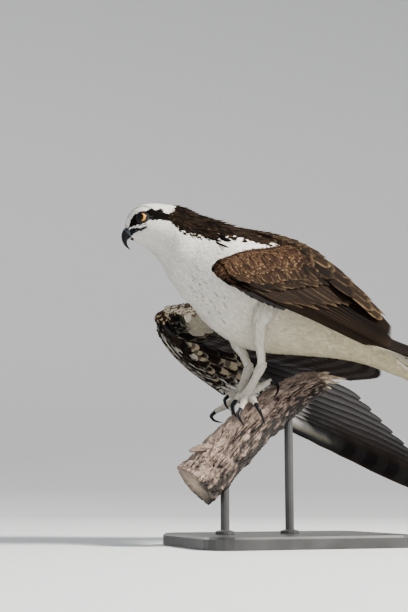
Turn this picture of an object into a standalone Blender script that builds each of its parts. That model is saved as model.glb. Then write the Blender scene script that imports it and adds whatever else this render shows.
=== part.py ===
"""An osprey, life size, standing on a cut length of branch that a plain display stand holds up.

Metres, +Z up, the bird facing -X. The origin is the centre of the stand's underside.
Shapes are laid out in the bird's own frame, and every mesh is then moved by BIRD_AT.
"""

import math
import random

import bmesh
import bpy
import numpy as np
from mathutils import Vector, noise

# Driving sizes, in metres
BIRD_AT = Vector((-0.120, 0.0, 0.325))
GAP = 0.0003
HEAD_YAW = math.radians(10.0)
HEAD_PIVOT_X = -0.030

# Body sections, bill root to tail coverts: top x, z, bottom x, z, half width, fullness of the upper half
BODY_ROWS = [
    (-0.1130, 0.1085, -0.1030, 0.0905, 0.0085, 0.0),
    (-0.1085, 0.1210, -0.0985, 0.0865, 0.0140, 0.0),
    (-0.1005, 0.1310, -0.0920, 0.0835, 0.0190, 0.0),
    (-0.0880, 0.1380, -0.0830, 0.0790, 0.0235, 0.0),
    (-0.0740, 0.1405, -0.0735, 0.0715, 0.0265, 0.0),
    (-0.0590, 0.1400, -0.0655, 0.0630, 0.0290, 0.0),
    (-0.0440, 0.1385, -0.0570, 0.0510, 0.0320, 0.0),
    (-0.0300, 0.1345, -0.0500, 0.0370, 0.0360, 0.0),
    (-0.0130, 0.1275, -0.0398, 0.0244, 0.0405, 0.0),
    (0.0060, 0.1220, -0.0288, 0.0112, 0.0480, 0.05),
    (0.0300, 0.1165, -0.0128, -0.0018, 0.0572, 0.10),
    (0.0600, 0.1110, 0.0060, -0.0230, 0.0650, 0.12),
    (0.0920, 0.1095, 0.0340, -0.0430, 0.0680, 0.12),
    (0.1220, 0.1030, 0.0660, -0.0560, 0.0680, 0.10),
    (0.1500, 0.0860, 0.1020, -0.0610, 0.0640, 0.08),
    (0.1780, 0.0640, 0.1420, -0.0620, 0.0560, 0.05),
    (0.2060, 0.0400, 0.1830, -0.0630, 0.0460, 0.0),
    (0.2340, 0.0150, 0.2220, -0.0660, 0.0360, 0.0),
    (0.2620, -0.0100, 0.2580, -0.0730, 0.0270, 0.0),
    (0.2900, -0.0310, 0.2920, -0.0830, 0.0210, 0.0),
    (0.3160, -0.0480, 0.3220, -0.0920, 0.0170, 0.0),
]
HEAD_END = 6.0
NECK_END = 10.0
TORSO_END = 18.0
TORSO_STEPS = 13
BODY_SIDES = 24


# Small geometry helpers

def spline(rows, t):
    """A Catmull-Rom curve through rows of numbers, with t from 0 to len(rows) - 1."""
    rows = np.asarray(rows, float)
    last = len(rows) - 1
    i = min(int(max(t, 0.0)), last - 1)
    f = t - i
    p1, p2 = rows[i], rows[i + 1]
    p0 = rows[i - 1] if i > 0 else 2 * p1 - p2
    p3 = rows[i + 2] if i + 2 <= last else 2 * p2 - p1
    return 0.5 * (
        2 * p1
        + (p2 - p0) * f
        + (2 * p0 - 5 * p1 + 4 * p2 - p3) * f * f
        + (3 * p1 - p0 - 3 * p2 + p3) * f ** 3
    )


def smoothstep(x):
    x = min(max(x, 0.0), 1.0)
    return x * x * (3 - 2 * x)


def unit(v):
    return Vector(v).normalized()


def turned(point, share=1.0):
    """A point of the head, turned with the head about the neck."""
    a = HEAD_YAW * share
    x = point[0] - HEAD_PIVOT_X
    y = point[1]
    return Vector((
        HEAD_PIVOT_X + x * math.cos(a) + y * math.sin(a),
        -x * math.sin(a) + y * math.cos(a),
        point[2],
    ))


def material(name, colour, roughness, metallic=0.0):
    made = bpy.data.materials.get(name)
    if made is None:
        made = bpy.data.materials.new(name)
        made.use_nodes = True
        shader = made.node_tree.nodes["Principled BSDF"]
        shader.inputs["Base Color"].default_value = (*colour, 1.0)
        shader.inputs["Roughness"].default_value = roughness
        shader.inputs["Metallic"].default_value = metallic
    return made


def finishes():
    return {
        "white": material("white_plumage", (0.80, 0.78, 0.72), 0.85),
        "brown": material("brown_plumage", (0.055, 0.035, 0.024), 0.70),
        "leg": material("leg_skin", (0.62, 0.63, 0.60), 0.60),
        "horn": material("black_horn", (0.015, 0.015, 0.018), 0.28),
        "eye": material("eye_yellow", (0.62, 0.30, 0.02), 0.08),
        "bark": material("bark", (0.26, 0.19, 0.15), 0.90),
        "stand": material("stand_black", (0.03, 0.03, 0.032), 0.45),
    }


def solid(name, points, faces, finish):
    """A mesh object in the stand's frame, its faces turned outwards."""
    mesh = bpy.data.meshes.new(name)
    mesh.from_pydata([tuple(Vector(p) + BIRD_AT) for p in points], [], faces)
    made = bmesh.new()
    made.from_mesh(mesh)
    if made.calc_volume(signed=True) < 0:
        bmesh.ops.reverse_faces(made, faces=made.faces)
    made.to_mesh(mesh)
    made.free()
    obj = bpy.data.objects.new(name, mesh)
    obj.data.materials.append(finish)
    bpy.context.scene.collection.objects.link(obj)
    return obj


def ring_faces(rings, sides):
    """Faces of a loft with flat ends, split into triangles alike all along.

    A strip of four sides has its lower face split along the same line as its upper one, so that a twist
    never brings the two together.
    """
    faces = []
    for i in range(rings - 1):
        for j in range(sides):
            a = i * sides + j
            b = i * sides + (j + 1) % sides
            if sides == 4 and j == 2:
                faces.append((a, b, a + sides))
                faces.append((b, b + sides, a + sides))
            else:
                faces.append((a, b, b + sides))
                faces.append((a, b + sides, a + sides))
    faces.append(tuple(reversed(range(sides))))
    faces.append(tuple(range((rings - 1) * sides, rings * sides)))
    return faces


def loft(name, rings, finish):
    points = [p for ring in rings for p in ring]
    return solid(name, points, ring_faces(len(rings), len(rings[0])), finish)


def tube(name, path, radii, finish, sides=10, flatten=1.0, up=(0, 0, 1)):
    """A tapered tube along a list of points. flatten squeezes it across up."""
    rings = []
    for i, (centre, radius) in enumerate(zip(path, radii)):
        before = Vector(path[max(i - 1, 0)])
        after = Vector(path[min(i + 1, len(path) - 1)])
        along = (after - before).normalized()
        side = along.cross(Vector(up)).normalized()
        high = side.cross(along).normalized()
        ring = []
        for j in range(sides):
            a = 2 * math.pi * j / sides
            across, over = radius * math.cos(a), radius * flatten * math.sin(a)
            ring.append(Vector(centre) + side * across + high * over)
        rings.append(ring)
    return loft(name, rings, finish)


def ellipsoid(name, centre, radii, finish, segments=16, rings=10, turn=None):
    mesh = bpy.data.meshes.new(name)
    made = bmesh.new()
    bmesh.ops.create_uvsphere(made, u_segments=segments, v_segments=rings, radius=1.0)
    for vertex in made.verts:
        point = Vector([vertex.co[k] * radii[k] for k in range(3)])
        if turn is not None:
            point = turn @ point
        vertex.co = point + Vector(centre) + BIRD_AT
    made.to_mesh(mesh)
    made.free()
    obj = bpy.data.objects.new(name, mesh)
    obj.data.materials.append(finish)
    bpy.context.scene.collection.objects.link(obj)
    return obj


def remove(obj):
    bpy.data.objects.remove(obj)


def largest_only(obj):
    """Keeps the largest closed surface of a mesh and drops loose scraps and sealed hollows."""
    made = bmesh.new()
    made.from_mesh(obj.data)
    left = set(made.verts)
    islands = []
    while left:
        start = left.pop()
        island, todo = {start}, [start]
        while todo:
            for edge in todo.pop().link_edges:
                for vertex in edge.verts:
                    if vertex in left:
                        left.discard(vertex)
                        island.add(vertex)
                        todo.append(vertex)
        islands.append(island)
    if len(islands) > 1:
        islands.sort(key=len, reverse=True)
        loose = [v for island in islands[1:] for v in island]
        bmesh.ops.delete(made, geom=loose, context="VERTS")
        made.to_mesh(obj.data)
    made.free()


def settle(obj, modifier):
    """Applies a modifier by taking the evaluated mesh."""
    bpy.context.view_layer.update()
    graph = bpy.context.evaluated_depsgraph_get()
    mesh = bpy.data.meshes.new_from_object(obj.evaluated_get(graph))
    obj.modifiers.remove(modifier)
    obj.data = mesh
    largest_only(obj)


def united(obj, pieces):
    """Joins closed pieces into obj, which stays one closed body."""
    group = bpy.data.collections.new(obj.name + "_pieces")
    for piece in pieces:
        group.objects.link(piece)
    join = obj.modifiers.new("join", "BOOLEAN")
    join.operation = "UNION"
    join.operand_type = "COLLECTION"
    join.collection = group
    join.solver = "MANIFOLD"
    settle(obj, join)
    for piece in pieces:
        remove(piece)
    bpy.data.collections.remove(group)
    return obj


def cut(obj, cutters, keep=False):
    """Takes the cutters' space away from obj."""
    for cutter in cutters:
        less = obj.modifiers.new("cut", "BOOLEAN")
        less.operation = "DIFFERENCE"
        less.object = cutter
        less.solver = "MANIFOLD"
        settle(obj, less)
        if not keep:
            remove(cutter)
    return obj


# Body: head, neck, torso and the tail's coverts are one loft, parted by thin flat gaps

def body_ring(t, grow=0.0, shift=0.0):
    tx, tz, bx, bz, half, full = spline(BODY_ROWS, t)
    middle = Vector(((tx + bx) / 2, 0, (tz + bz) / 2))
    high = Vector(((tx - bx) / 2, 0, (tz - bz) / 2))
    tall = high.length
    high.normalize()
    along = Vector((high.z, 0, -high.x))
    share = smoothstep((-0.022 - middle.x) / 0.040)
    ring = []
    for j in range(BODY_SIDES):
        a = 2 * math.pi * j / BODY_SIDES
        side = math.sin(a) * (1 + full * math.cos(a))
        point = middle + high * ((tall + grow) * math.cos(a)) + Vector((0, (half + grow) * side, 0))
        ring.append(turned(point + along * shift, share))
    return ring


def body_length(name, start, end, steps, finish, grow=0.0):
    """A length of the body from row start to row end. Its ends stop short so that neighbours don't touch."""
    stations = np.linspace(start, end, steps)
    rings = []
    for i, t in enumerate(stations):
        shift = 0.0
        if i == 0 and start > 0:
            shift = GAP / 2 - grow
        if i == steps - 1:
            shift = -GAP / 2 + grow
        rings.append(body_ring(t, grow, shift))
    return loft(name, rings, finish)


# Head details

EYE_AT = (-0.0885, 0.0165, 0.1155)
EYE_RADIUS = 0.0078
BILL_UPPER_ROWS = [
    (-0.1060, 0.1065, -0.0960, 0.0962, 0.0085),
    (-0.1125, 0.1045, -0.1025, 0.0925, 0.0082),
    (-0.1158, 0.0990, -0.1058, 0.0897, 0.0070),
    (-0.1168, 0.0925, -0.1082, 0.0872, 0.0054),
    (-0.1152, 0.0855, -0.1086, 0.0840, 0.0040),
    (-0.1118, 0.0798, -0.1078, 0.0808, 0.0026),
    (-0.1080, 0.0764, -0.1062, 0.0778, 0.0014),
    (-0.1043, 0.0740, -0.1039, 0.0744, 0.0004),
]
BILL_LOWER_ROWS = [
    (-0.0920, 0.0980, -0.0905, 0.0865, 0.0078),
    (-0.0975, 0.0944, -0.0960, 0.0868, 0.0068),
    (-0.1020, 0.0912, -0.1003, 0.0875, 0.0050),
    (-0.1045, 0.0890, -0.1035, 0.0880, 0.0022),
]


def bill_length(name, rows, finish, steps, sides=12, grow=0.0):
    rings = []
    for t in np.linspace(0, len(rows) - 1, steps):
        tx, tz, bx, bz, half = spline(rows, t)
        middle = Vector(((tx + bx) / 2, 0, (tz + bz) / 2))
        high = Vector(((tx - bx) / 2, 0, (tz - bz) / 2))
        ring = []
        for j in range(sides):
            a = 2 * math.pi * j / sides
            tall = (high.length + grow) * math.cos(a)
            wide = (half + grow) * math.sin(a)
            ring.append(turned(middle + high.normalized() * tall + Vector((0, wide, 0))))
        rings.append(ring)
    return loft(name, rings, finish)


def lid_ring(name, side, finish):
    """The lid's raised rim round one eye."""
    centre = Vector((EYE_AT[0], side * EYE_AT[1], EYE_AT[2]))
    out = unit((-0.30, side * 0.95, 0.02))
    across = out.cross(Vector((0, 0, 1))).normalized()
    high = across.cross(out).normalized()
    points, faces = [], []
    turns, sides = 14, 4
    for i in range(turns):
        a = 2 * math.pi * i / turns
        radial = across * math.cos(a) + high * math.sin(a)
        for j in range(sides):
            b = 2 * math.pi * j / sides
            reach = 0.0072 + 0.0013 * math.cos(b)
            rise = 0.0042 + 0.0013 * math.sin(b)
            points.append(turned(centre + radial * reach + out * rise))
    for i in range(turns):
        for j in range(sides):
            a = i * sides + j
            b = i * sides + (j + 1) % sides
            c = ((i + 1) % turns) * sides + (j + 1) % sides
            d = ((i + 1) % turns) * sides + j
            faces += [(a, b, c), (a, c, d)]
    return solid(name, points, faces, finish)


def build_head(look):
    head = body_length("head", 0.0, HEAD_END, 11, look["white"])
    extras = []
    for side in (-1, 1):
        brow = [
            turned((-0.1020, side * 0.0170, 0.1230)),
            turned((-0.0950, side * 0.0205, 0.1262)),
            turned((-0.0860, side * 0.0228, 0.1268)),
            turned((-0.0770, side * 0.0232, 0.1240)),
        ]
        extras.append(tube("brow", brow, (0.0014, 0.0036, 0.0038, 0.0015), look["white"], 6))
        extras.append(lid_ring("lid", side, look["white"]))
    united(head, extras)
    pockets = [
        bill_length("upper_pocket", BILL_UPPER_ROWS, look["horn"], 11, grow=GAP),
        bill_length("lower_pocket", BILL_LOWER_ROWS, look["horn"], 5, grow=GAP),
    ]
    for side in (-1, 1):
        centre = turned((EYE_AT[0], side * EYE_AT[1], EYE_AT[2]))
        pockets.append(ellipsoid("socket", centre, (EYE_RADIUS + GAP,) * 3, look["eye"], 14, 8))
        gape = [
            turned((-0.1000, side * 0.0160, 0.0950)),
            turned((-0.0930, side * 0.0205, 0.0985)),
            turned((-0.0850, side * 0.0240, 0.1030)),
        ]
        pockets.append(tube("gape", gape, (0.0060, 0.0026, 0.0006), look["horn"], 4, flatten=0.16))
    cut(head, pockets)
    return head


def build_bill(look):
    upper = bill_length("bill_upper", BILL_UPPER_ROWS, look["horn"], 11)
    nostrils = []
    for side in (-1, 1):
        slit = [turned((-0.1105, side * 0.0075, 0.0972)), turned((-0.1075, side * 0.0086, 0.1002))]
        nostrils.append(tube("nostril", slit, (0.0008, 0.0008), look["horn"], 6))
    cut(upper, nostrils)
    lower = bill_length("bill_lower", BILL_LOWER_ROWS, look["horn"], 5)
    cut(lower, [bill_length("upper_fat", BILL_UPPER_ROWS, look["horn"], 11, grow=GAP)])


def build_eyes(look):
    for word, side in (("left", -1), ("right", 1)):
        centre = turned((EYE_AT[0], side * EYE_AT[1], EYE_AT[2]))
        ellipsoid("eye_" + word, centre, (EYE_RADIUS,) * 3, look["eye"], 14, 8)


# Feathers

VANE_THINNING = 0.35


def vane(root, tip, normal, width, thick, stations, widths, finish):
    """One straight feather as a thin closed strip, its widths given as shares of width along its length."""
    root, tip = Vector(root), Vector(tip)
    along = (tip - root).normalized()
    across = along.cross(Vector(normal)).normalized()
    face = across.cross(along)
    rings = []
    for s, w in zip(stations, widths):
        centre = root.lerp(tip, s)
        half = across * (width / 2 * w)
        lift = face * (thick / 2 * (1 - VANE_THINNING * s))
        rings.append([centre + half + lift, centre - half + lift, centre - half - lift, centre + half - lift])
    return loft("vane", rings, finish)


def hull(name, points, finish):
    """The closed convex body round a few points."""
    made = bmesh.new()
    for p in points:
        made.verts.new(p)
    found = bmesh.ops.convex_hull(made, input=made.verts)
    inner = [g for g in found["geom_interior"] if isinstance(g, bmesh.types.BMVert)]
    bmesh.ops.delete(made, geom=inner, context="VERTS")
    made.verts.index_update()
    shell = [v.co.copy() for v in made.verts]
    faces = [tuple(v.index for v in f.verts) for f in made.faces]
    made.free()
    return solid(name, shell, faces, finish)


BLADE_SIDES = 8


def blade(name, edge_a, edge_b, normals, thick, finish, bulge=0.0):
    """A flat tapered core between two edge curves, its sections of BLADE_SIDES points each."""
    rings = []
    for a, b, n, t in zip(edge_a, edge_b, normals, thick):
        a, b, n = Vector(a), Vector(b), Vector(n).normalized()
        rings.append([
            a,
            a.lerp(b, 0.16) + n * (t * 0.75),
            a.lerp(b, 0.45) + n * (t + bulge),
            a.lerp(b, 0.82) + n * (t * 0.6),
            b,
            a.lerp(b, 0.82) - n * (t * 0.6),
            a.lerp(b, 0.45) - n * t,
            a.lerp(b, 0.16) - n * (t * 0.75),
        ])
    return loft(name, rings, finish)


# Wings. The arm runs from the shoulder to the wrist and the hand from the wrist to its end.
# edge is the leading edge, root and tip are where the flight feathers start and end.
# up points off the wing's back.
WINGS = {
    "left": {
        "side": -1,
        "arm": {
            "edge": [(0.1050, -0.0440, 0.0860), (0.0600, -0.0790, 0.0705), (0.0150, -0.1060, 0.0570),
                     (-0.0275, -0.1270, 0.0375)],
            "root": [(0.1417, -0.0700, 0.0391), (0.0538, -0.1050, 0.0151), (-0.0088, -0.1262, 0.0130)],
            "tip": [(0.2582, -0.0588, -0.0327), (0.2440, -0.0768, -0.0555), (0.1892, -0.1146, -0.0616)],
            "up": [(0.37, -0.80, 0.46), (0.28, -0.82, 0.48), (0.10, -0.93, 0.35)],
        },
        "hand": {
            "edge": [(-0.0330, -0.1315, 0.0262), (-0.0185, -0.1235, 0.0155), (0.0150, -0.1085, 0.0030),
                     (0.0770, -0.0969, -0.0148)],
            "root": [(0.0030, -0.1085, 0.0125), (0.0401, -0.0968, 0.0077), (0.0793, -0.0920, -0.0064)],
            "tip": [(0.2380, -0.0736, -0.0540), (0.3644, -0.0398, -0.0728), (0.5000, -0.0010, -0.0942)],
            "up": [(0.22, -0.80, 0.55), (0.29, -0.72, 0.63), (0.29, -0.72, 0.63)],
        },
    },
    "right": {
        "side": 1,
        "arm": {
            "edge": [(0.1050, 0.0440, 0.0800), (0.0620, 0.0700, 0.0400), (0.0216, 0.1000, 0.0250),
                     (-0.0104, 0.1380, 0.0225)],
            "root": [(0.1240, 0.0800, 0.0200), (0.0594, 0.1150, 0.0000), (0.0060, 0.1480, -0.0196)],
            "tip": [(0.3007, 0.0453, -0.0688), (0.2987, 0.0547, -0.0830), (0.2630, 0.0736, -0.0870)],
            "up": [(0.37, 0.80, 0.46), (0.37, 0.79, 0.48), (0.15, 0.93, 0.33)],
        },
        "hand": {
            "edge": [(-0.0207, 0.1520, 0.0090), (-0.0169, 0.1560, -0.0210), (0.0176, 0.1530, -0.0620),
                     (0.0840, 0.1509, -0.1070)],
            "root": [(0.0086, 0.1421, -0.0292), (0.0436, 0.1462, -0.0665), (0.0848, 0.1487, -0.0981)],
            "tip": [(0.2912, 0.0844, -0.1246), (0.3871, 0.1143, -0.1855), (0.4986, 0.1209, -0.2720)],
            "up": [(0.22, 0.85, 0.45), (0.29, 0.81, 0.51), (0.29, 0.81, 0.51)],
        },
    },
}
SECONDARIES = 11
SECONDARY_PLACES = (0.0, 0.22, 0.86, 1.0)
SECONDARY_HEIGHTS = (0.0, 0.0012, 0.0008, 0.0)
SECONDARY_WIDTHS = (0.005, 0.026, 0.032, 0.011)
PRIMARIES = 10
INNER_END = -0.18
VANE_THICK = 0.0007
SHINGLE_RISE = 0.0012
# Rows of the arm's coverts: how many, where the first lies, start as a share of the arm's depth, length, width,
# height over the sheet, and whether they lie on the wing's underside
COVERT_ROWS = [
    (6, 0.03, 0.72, 0.095, 0.039, 0.0052, False),
    (6, 0.03, 0.42, 0.060, 0.036, 0.0086, False),
    (5, 0.08, 0.16, 0.036, 0.040, 0.0118, False),
    (4, 0.06, 0.60, 0.075, 0.050, 0.0048, True),
    (4, 0.10, 0.22, 0.045, 0.046, 0.0086, True),
]
CORE_BEYOND = 0.012
CORE_PLACES = {"arm": (-0.20, 0.0, 0.25, 0.50, 0.75, 0.92, 1.0), "hand": (0.0, 0.16, 0.35, 0.55, 0.78, 1.0)}
CORE_HALF = {"arm": (0.0085, 0.0080), "hand": (0.0085, 0.0078)}


def along_rows(rows, v):
    """A point of a curve through rows of points, v from 0 to 1, carried on straight past either end."""
    last = len(rows) - 1
    inside = min(max(v, 0.0), 1.0)
    point = Vector(spline(rows, last * inside))
    if v != inside:
        step = 0.05 if inside == 0.0 else -0.05
        point += (point - Vector(spline(rows, last * (inside + step)))) * ((inside - v) / step)
    return point


class Sheet:
    """The arm or the hand of one wing. v runs out along the leading edge, back is a distance behind it."""

    def __init__(self, word, name):
        self.side = WINGS[word]["side"]
        self.rows = WINGS[word][name]
        self.half = CORE_HALF[name]

    def edge(self, v):
        return along_rows(self.rows["edge"], v)

    def root(self, v):
        return along_rows(self.rows["root"], v)

    def tip(self, v):
        return along_rows(self.rows["tip"], v)

    def up(self, v):
        return along_rows(self.rows["up"], min(max(v, 0.0), 1.0)).normalized()

    def core_half(self, v):
        return self.half[0] + (self.half[1] - self.half[0]) * v

    def arm(self, v):
        return (self.root(v) - self.edge(v)).length

    def reach(self, v):
        return (self.tip(v) - self.root(v)).length

    def place(self, v, back):
        edge, root, tip = self.edge(v), self.root(v), self.tip(v)
        arm = (root - edge).length
        if back <= arm:
            return edge.lerp(root, back / arm)
        return root + (tip - root).normalized() * (back - arm)

    def face(self, v, back):
        """The sheet's own normal at a place, off the wing's back."""
        across = self.place(v + 0.04, back) - self.place(v - 0.04, back)
        along = self.place(v, back + 0.02) - self.place(v, back - 0.02)
        normal = across.cross(along).normalized()
        return normal if normal.dot(self.up(v)) > 0 else -normal

    def pitch(self, v, back):
        return (self.place(v + 0.04, back) - self.place(v - 0.04, back)).length / 0.08


def shingle(sheet, v, step, backs, heights, widths, finish, under=False, thick=VANE_THICK, rise=SHINGLE_RISE):
    """A feather laid along the sheet. Its outer edge stands over the next one's inner edge, never through it."""
    sign = -1 if under else 1
    rings = []
    for back, height, width in zip(backs, heights, widths):
        share = min(width / 2 / sheet.pitch(v, back), 1.3 * step)
        ring = []
        for outer, layer in ((1, 1), (-1, 1), (-1, -1), (1, -1)):
            w = v + outer * share
            tall = sign * height + rise * outer * share / step + layer * thick / 2
            ring.append(sheet.place(w, back) + sheet.face(w, back) * tall)
        rings.append(ring)
    return loft("vane", rings, finish)


def secondaries(sheet, finish):
    """The arm's flight feathers, from the innermost one over the back to the wrist."""
    vanes = []
    step = (1.0 - INNER_END) / (SECONDARIES - 1)
    for i in range(SECONDARIES):
        v = INNER_END + i * step
        start, reach = sheet.arm(v) - 0.004, sheet.reach(v) + 0.004
        backs = [start + reach * s for s in SECONDARY_PLACES]
        vanes.append(shingle(sheet, v, step, backs, SECONDARY_HEIGHTS, SECONDARY_WIDTHS, finish))
    return vanes


def coverts(sheet, finish, count, span, start, reach, width, height, under=False):
    """One row of coverts. They start at a share of the arm's depth, in the core, and end height above it."""
    vanes = []
    step = (span[1] - span[0]) / (count - 1)
    for i in range(count):
        v = span[0] + i * step
        begin = start * sheet.arm(v)
        backs = [begin, begin + 0.60 * reach, begin + reach]
        heights = [0.45 * sheet.core_half(v), height, height * 0.95]
        widths = [0.010, width, width * 0.38]
        vanes.append(shingle(sheet, v, step, backs, heights, widths, finish, under))
    return vanes


def stacked(sheet, finish, count, layer, step, start, reaches, width, sink=0.0, bow=0.012):
    """Feathers of the folded hand, in parallel layers one under the other. layer is the first one's height."""
    first, last = sheet.root(0.0), sheet.tip(1.0)
    whole = (last - first).length
    along = (last - first) / whole
    normal = sheet.up(0.5)
    normal = (normal - along * normal.dot(along)).normalized()
    across = along.cross(normal)
    end = sheet.root(1.0) - first
    slope = end.dot(normal) / end.dot(across) if abs(end.dot(across)) > 0.010 else 0.0
    vanes = []
    for i in range(count):
        v = i / (count - 1)
        root = sheet.root(v).lerp(sheet.edge(v), start)
        path = (sheet.tip(v) - sheet.root(v)).normalized()
        rings = []
        for s, w in zip((0.0, 0.24, 0.86, 1.0), (0.18, 0.72, 0.92, 0.25)):
            point = root + path * (reaches(v) * s) - first
            x, y = point.dot(along), point.dot(across)
            z = layer - step * i + bow * x * (1 - x / whole) + sink * s
            half = width / 2 * w
            ring = []
            for side, up in ((1, 1), (-1, 1), (-1, -1), (1, -1)):
                tall = z + slope * (y + side * half) + up * VANE_THICK / 2
                ring.append(first + along * x + across * (y + side * half) + normal * tall)
            rings.append(ring)
        vanes.append(loft("vane", rings, finish))
    return vanes


# The shoulder feathers lie on a strip between a high line near the spine and a low one over the wing
SHOULDER_HIGH = [
    (0.0800, 0.0180, 0.1060),
    (0.1450, 0.0220, 0.0900),
    (0.2050, 0.0240, 0.0505),
    (0.2560, 0.0260, 0.0050),
]
SHOULDER_LOW = [
    (0.0900, 0.0560, 0.0860),
    (0.1420, 0.0740, 0.0570),
    (0.1980, 0.0760, 0.0230),
    (0.2500, 0.0660, -0.0120),
]
SHOULDER_CORE = (0.0045, 0.0045, 0.0035, 0.0020)
# Rows of shoulder feathers: where they start as a share of the length, height over the strip, how many
SHOULDER_ROWS = [(0.03, 0.0085, 3), (0.26, 0.0066, 3), (0.50, 0.0048, 2)]
SHOULDER_LENGTH = 0.195


class Shoulder(Sheet):
    """The strip of shoulder feathers on one side. v runs from the spine outwards, back towards the tail."""

    def __init__(self, side):
        self.side = side

    def arm(self, v):
        return SHOULDER_LENGTH

    def core_half(self, v):
        return SHOULDER_CORE[0]

    def up(self, v):
        return unit((0.30, self.side * (0.30 + 0.50 * v), 0.90 - 0.40 * v))

    def place(self, v, back):
        t = 3 * min(back / SHOULDER_LENGTH, 1.0)
        high, low = Vector(spline(SHOULDER_HIGH, t)), Vector(spline(SHOULDER_LOW, t))
        point = high.lerp(low, v)
        return Vector((point.x, self.side * point.y, point.z))


def scapulars(side, finish):
    """The feathers that cover the shoulder: three rows over a thin core."""
    sheet = Shoulder(side)
    shares = (0.0, 0.25, 0.50, 0.75)
    edge_a = [sheet.place(0.0, SHOULDER_LENGTH * share) for share in shares]
    edge_b = [sheet.place(1.0, SHOULDER_LENGTH * share) for share in shares]
    normals = [sheet.up(0.5)] * len(shares)
    pieces = [blade("scapular_core", edge_a, edge_b, normals, SHOULDER_CORE, finish)]
    for start, height, count in SHOULDER_ROWS:
        pieces += coverts(sheet, finish, count, (0.10, 0.90), start, 0.082, 0.036, height)
    return pieces


def build_wing(word, look):
    """One folded wing: a thin core with the flight feathers and their coverts joined on in tiers."""
    arm, hand = Sheet(word, "arm"), Sheet(word, "hand")
    finish = look["brown"]
    cores = []
    for sheet, places in ((arm, CORE_PLACES["arm"]), (hand, CORE_PLACES["hand"])):
        edge_a = [sheet.edge(v) for v in places]
        edge_b = [sheet.root(v) + (sheet.tip(v) - sheet.root(v)).normalized() * CORE_BEYOND for v in places]
        normals = [sheet.up(v) for v in places]
        halves = [sheet.core_half(v) for v in places]
        cores.append(blade("wing_" + word, edge_a, edge_b, normals, halves, finish))
    core, hand_core = cores
    bend = [v.co - BIRD_AT for v in list(core.data.vertices)[-BLADE_SIDES:]]
    bend += [v.co - BIRD_AT for v in list(hand_core.data.vertices)[:BLADE_SIDES]]

    def whole(v):
        return hand.reach(v) * (1.0 if v < 0.95 else 0.95)

    def short(v):
        return 0.105 - 0.030 * v

    vanes = [hand_core, hull("wrist", bend, finish)]
    vanes += secondaries(arm, finish)
    vanes += stacked(hand, finish, PRIMARIES, 0.0012, 0.0010, 0.0, whole, 0.031)
    vanes += stacked(hand, finish, 3, 0.0036, 0.0010, -0.08, short, 0.028)
    vanes += stacked(hand, finish, 3, -0.0008, 0.0032, -0.08, short, 0.034, sink=-0.0020)
    for count, first, start, reach, width, height, under in COVERT_ROWS:
        vanes += coverts(arm, finish, count, (first, 1.0), start, reach, width, height, under)
    vanes += scapulars(arm.side, finish)
    united(core, vanes)
    cut(core, [body_length("torso_fat", NECK_END, TORSO_END, TORSO_STEPS, look["white"], GAP)])
    return core


# Tail

TAIL_ROOT = Vector((0.2900, 0.0, -0.0560))
TAIL_ALONG = unit((0.857, 0.0, -0.515))
TAIL_UP = unit((0.515, 0.0, 0.857))
TAIL_LENGTH = 0.178
TAIL_FEATHERS = 12
TAIL_STEP = 0.0011
TAIL_TOP = 0.0062
TAIL_FAN = 0.10
TAIL_PLACES = (0.0, 0.22, 0.90, 1.0)
TAIL_WIDTHS = (0.22, 0.75, 1.0, 0.55)
# The coverts: where each starts along the tail and how far it lies to one side
TAIL_COVERTS = [(0.012, 0.7), (0.012, -0.7), (-0.004, 0.0), (-0.020, 0.5), (-0.020, -0.5)]
TAIL_COVERT = 0.085
COVERT_PLACES = (0.0, 0.30, 0.80, 1.0)
COVERT_WIDTHS = (0.25, 0.95, 0.9, 0.35)


def build_tail(look):
    """The tail: coverts over and under, and feathers in parallel layers, the middle pair on top."""
    tail = body_length("tail", TORSO_END, 20.0, 5, look["white"])
    vanes = []
    for layer in range(TAIL_FEATHERS):
        across = (layer // 2 + 0.5) / (TAIL_FEATHERS / 2) * (1 if layer % 2 else -1)
        path = (TAIL_ALONG + Vector((0, TAIL_FAN * across, 0))).normalized()
        root = TAIL_ROOT + Vector((0, 0.009 * across, 0)) + TAIL_UP * (TAIL_TOP - TAIL_STEP * layer)
        tip = root + path * (TAIL_LENGTH - 0.006 * abs(across))
        vanes.append(vane(root, tip, TAIL_UP, 0.029, VANE_THICK, TAIL_PLACES, TAIL_WIDTHS, look["brown"]))
    for lift in (1, -1):
        for layer, (start, across) in enumerate(TAIL_COVERTS):
            sunk = TAIL_UP * ((0.0095 + TAIL_STEP * layer) * lift)
            root = TAIL_ROOT + TAIL_ALONG * start + Vector((0, 0.012 * across, 0)) + sunk
            tip = root + TAIL_ALONG * TAIL_COVERT + Vector((0, 0.008 * across, 0))
            over = TAIL_UP * lift
            vanes.append(vane(root, tip, over, 0.021, VANE_THICK, COVERT_PLACES, COVERT_WIDTHS, look["white"]))
    return united(tail, vanes)


# Nape: a short ragged crest of pointed hackles over the back of the neck

NAPE_ROWS = ((6.4, 4), (7.3, 3), (8.1, 3))
NAPE_LENGTH = 0.030
NAPE_WIDTH = 0.0115
NAPE_THICK = 0.0010
NAPE_PLACES = (0.0, 0.40, 0.80, 1.0)
NAPE_WIDTHS = (0.35, 1.0, 0.6, 0.12)


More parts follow.
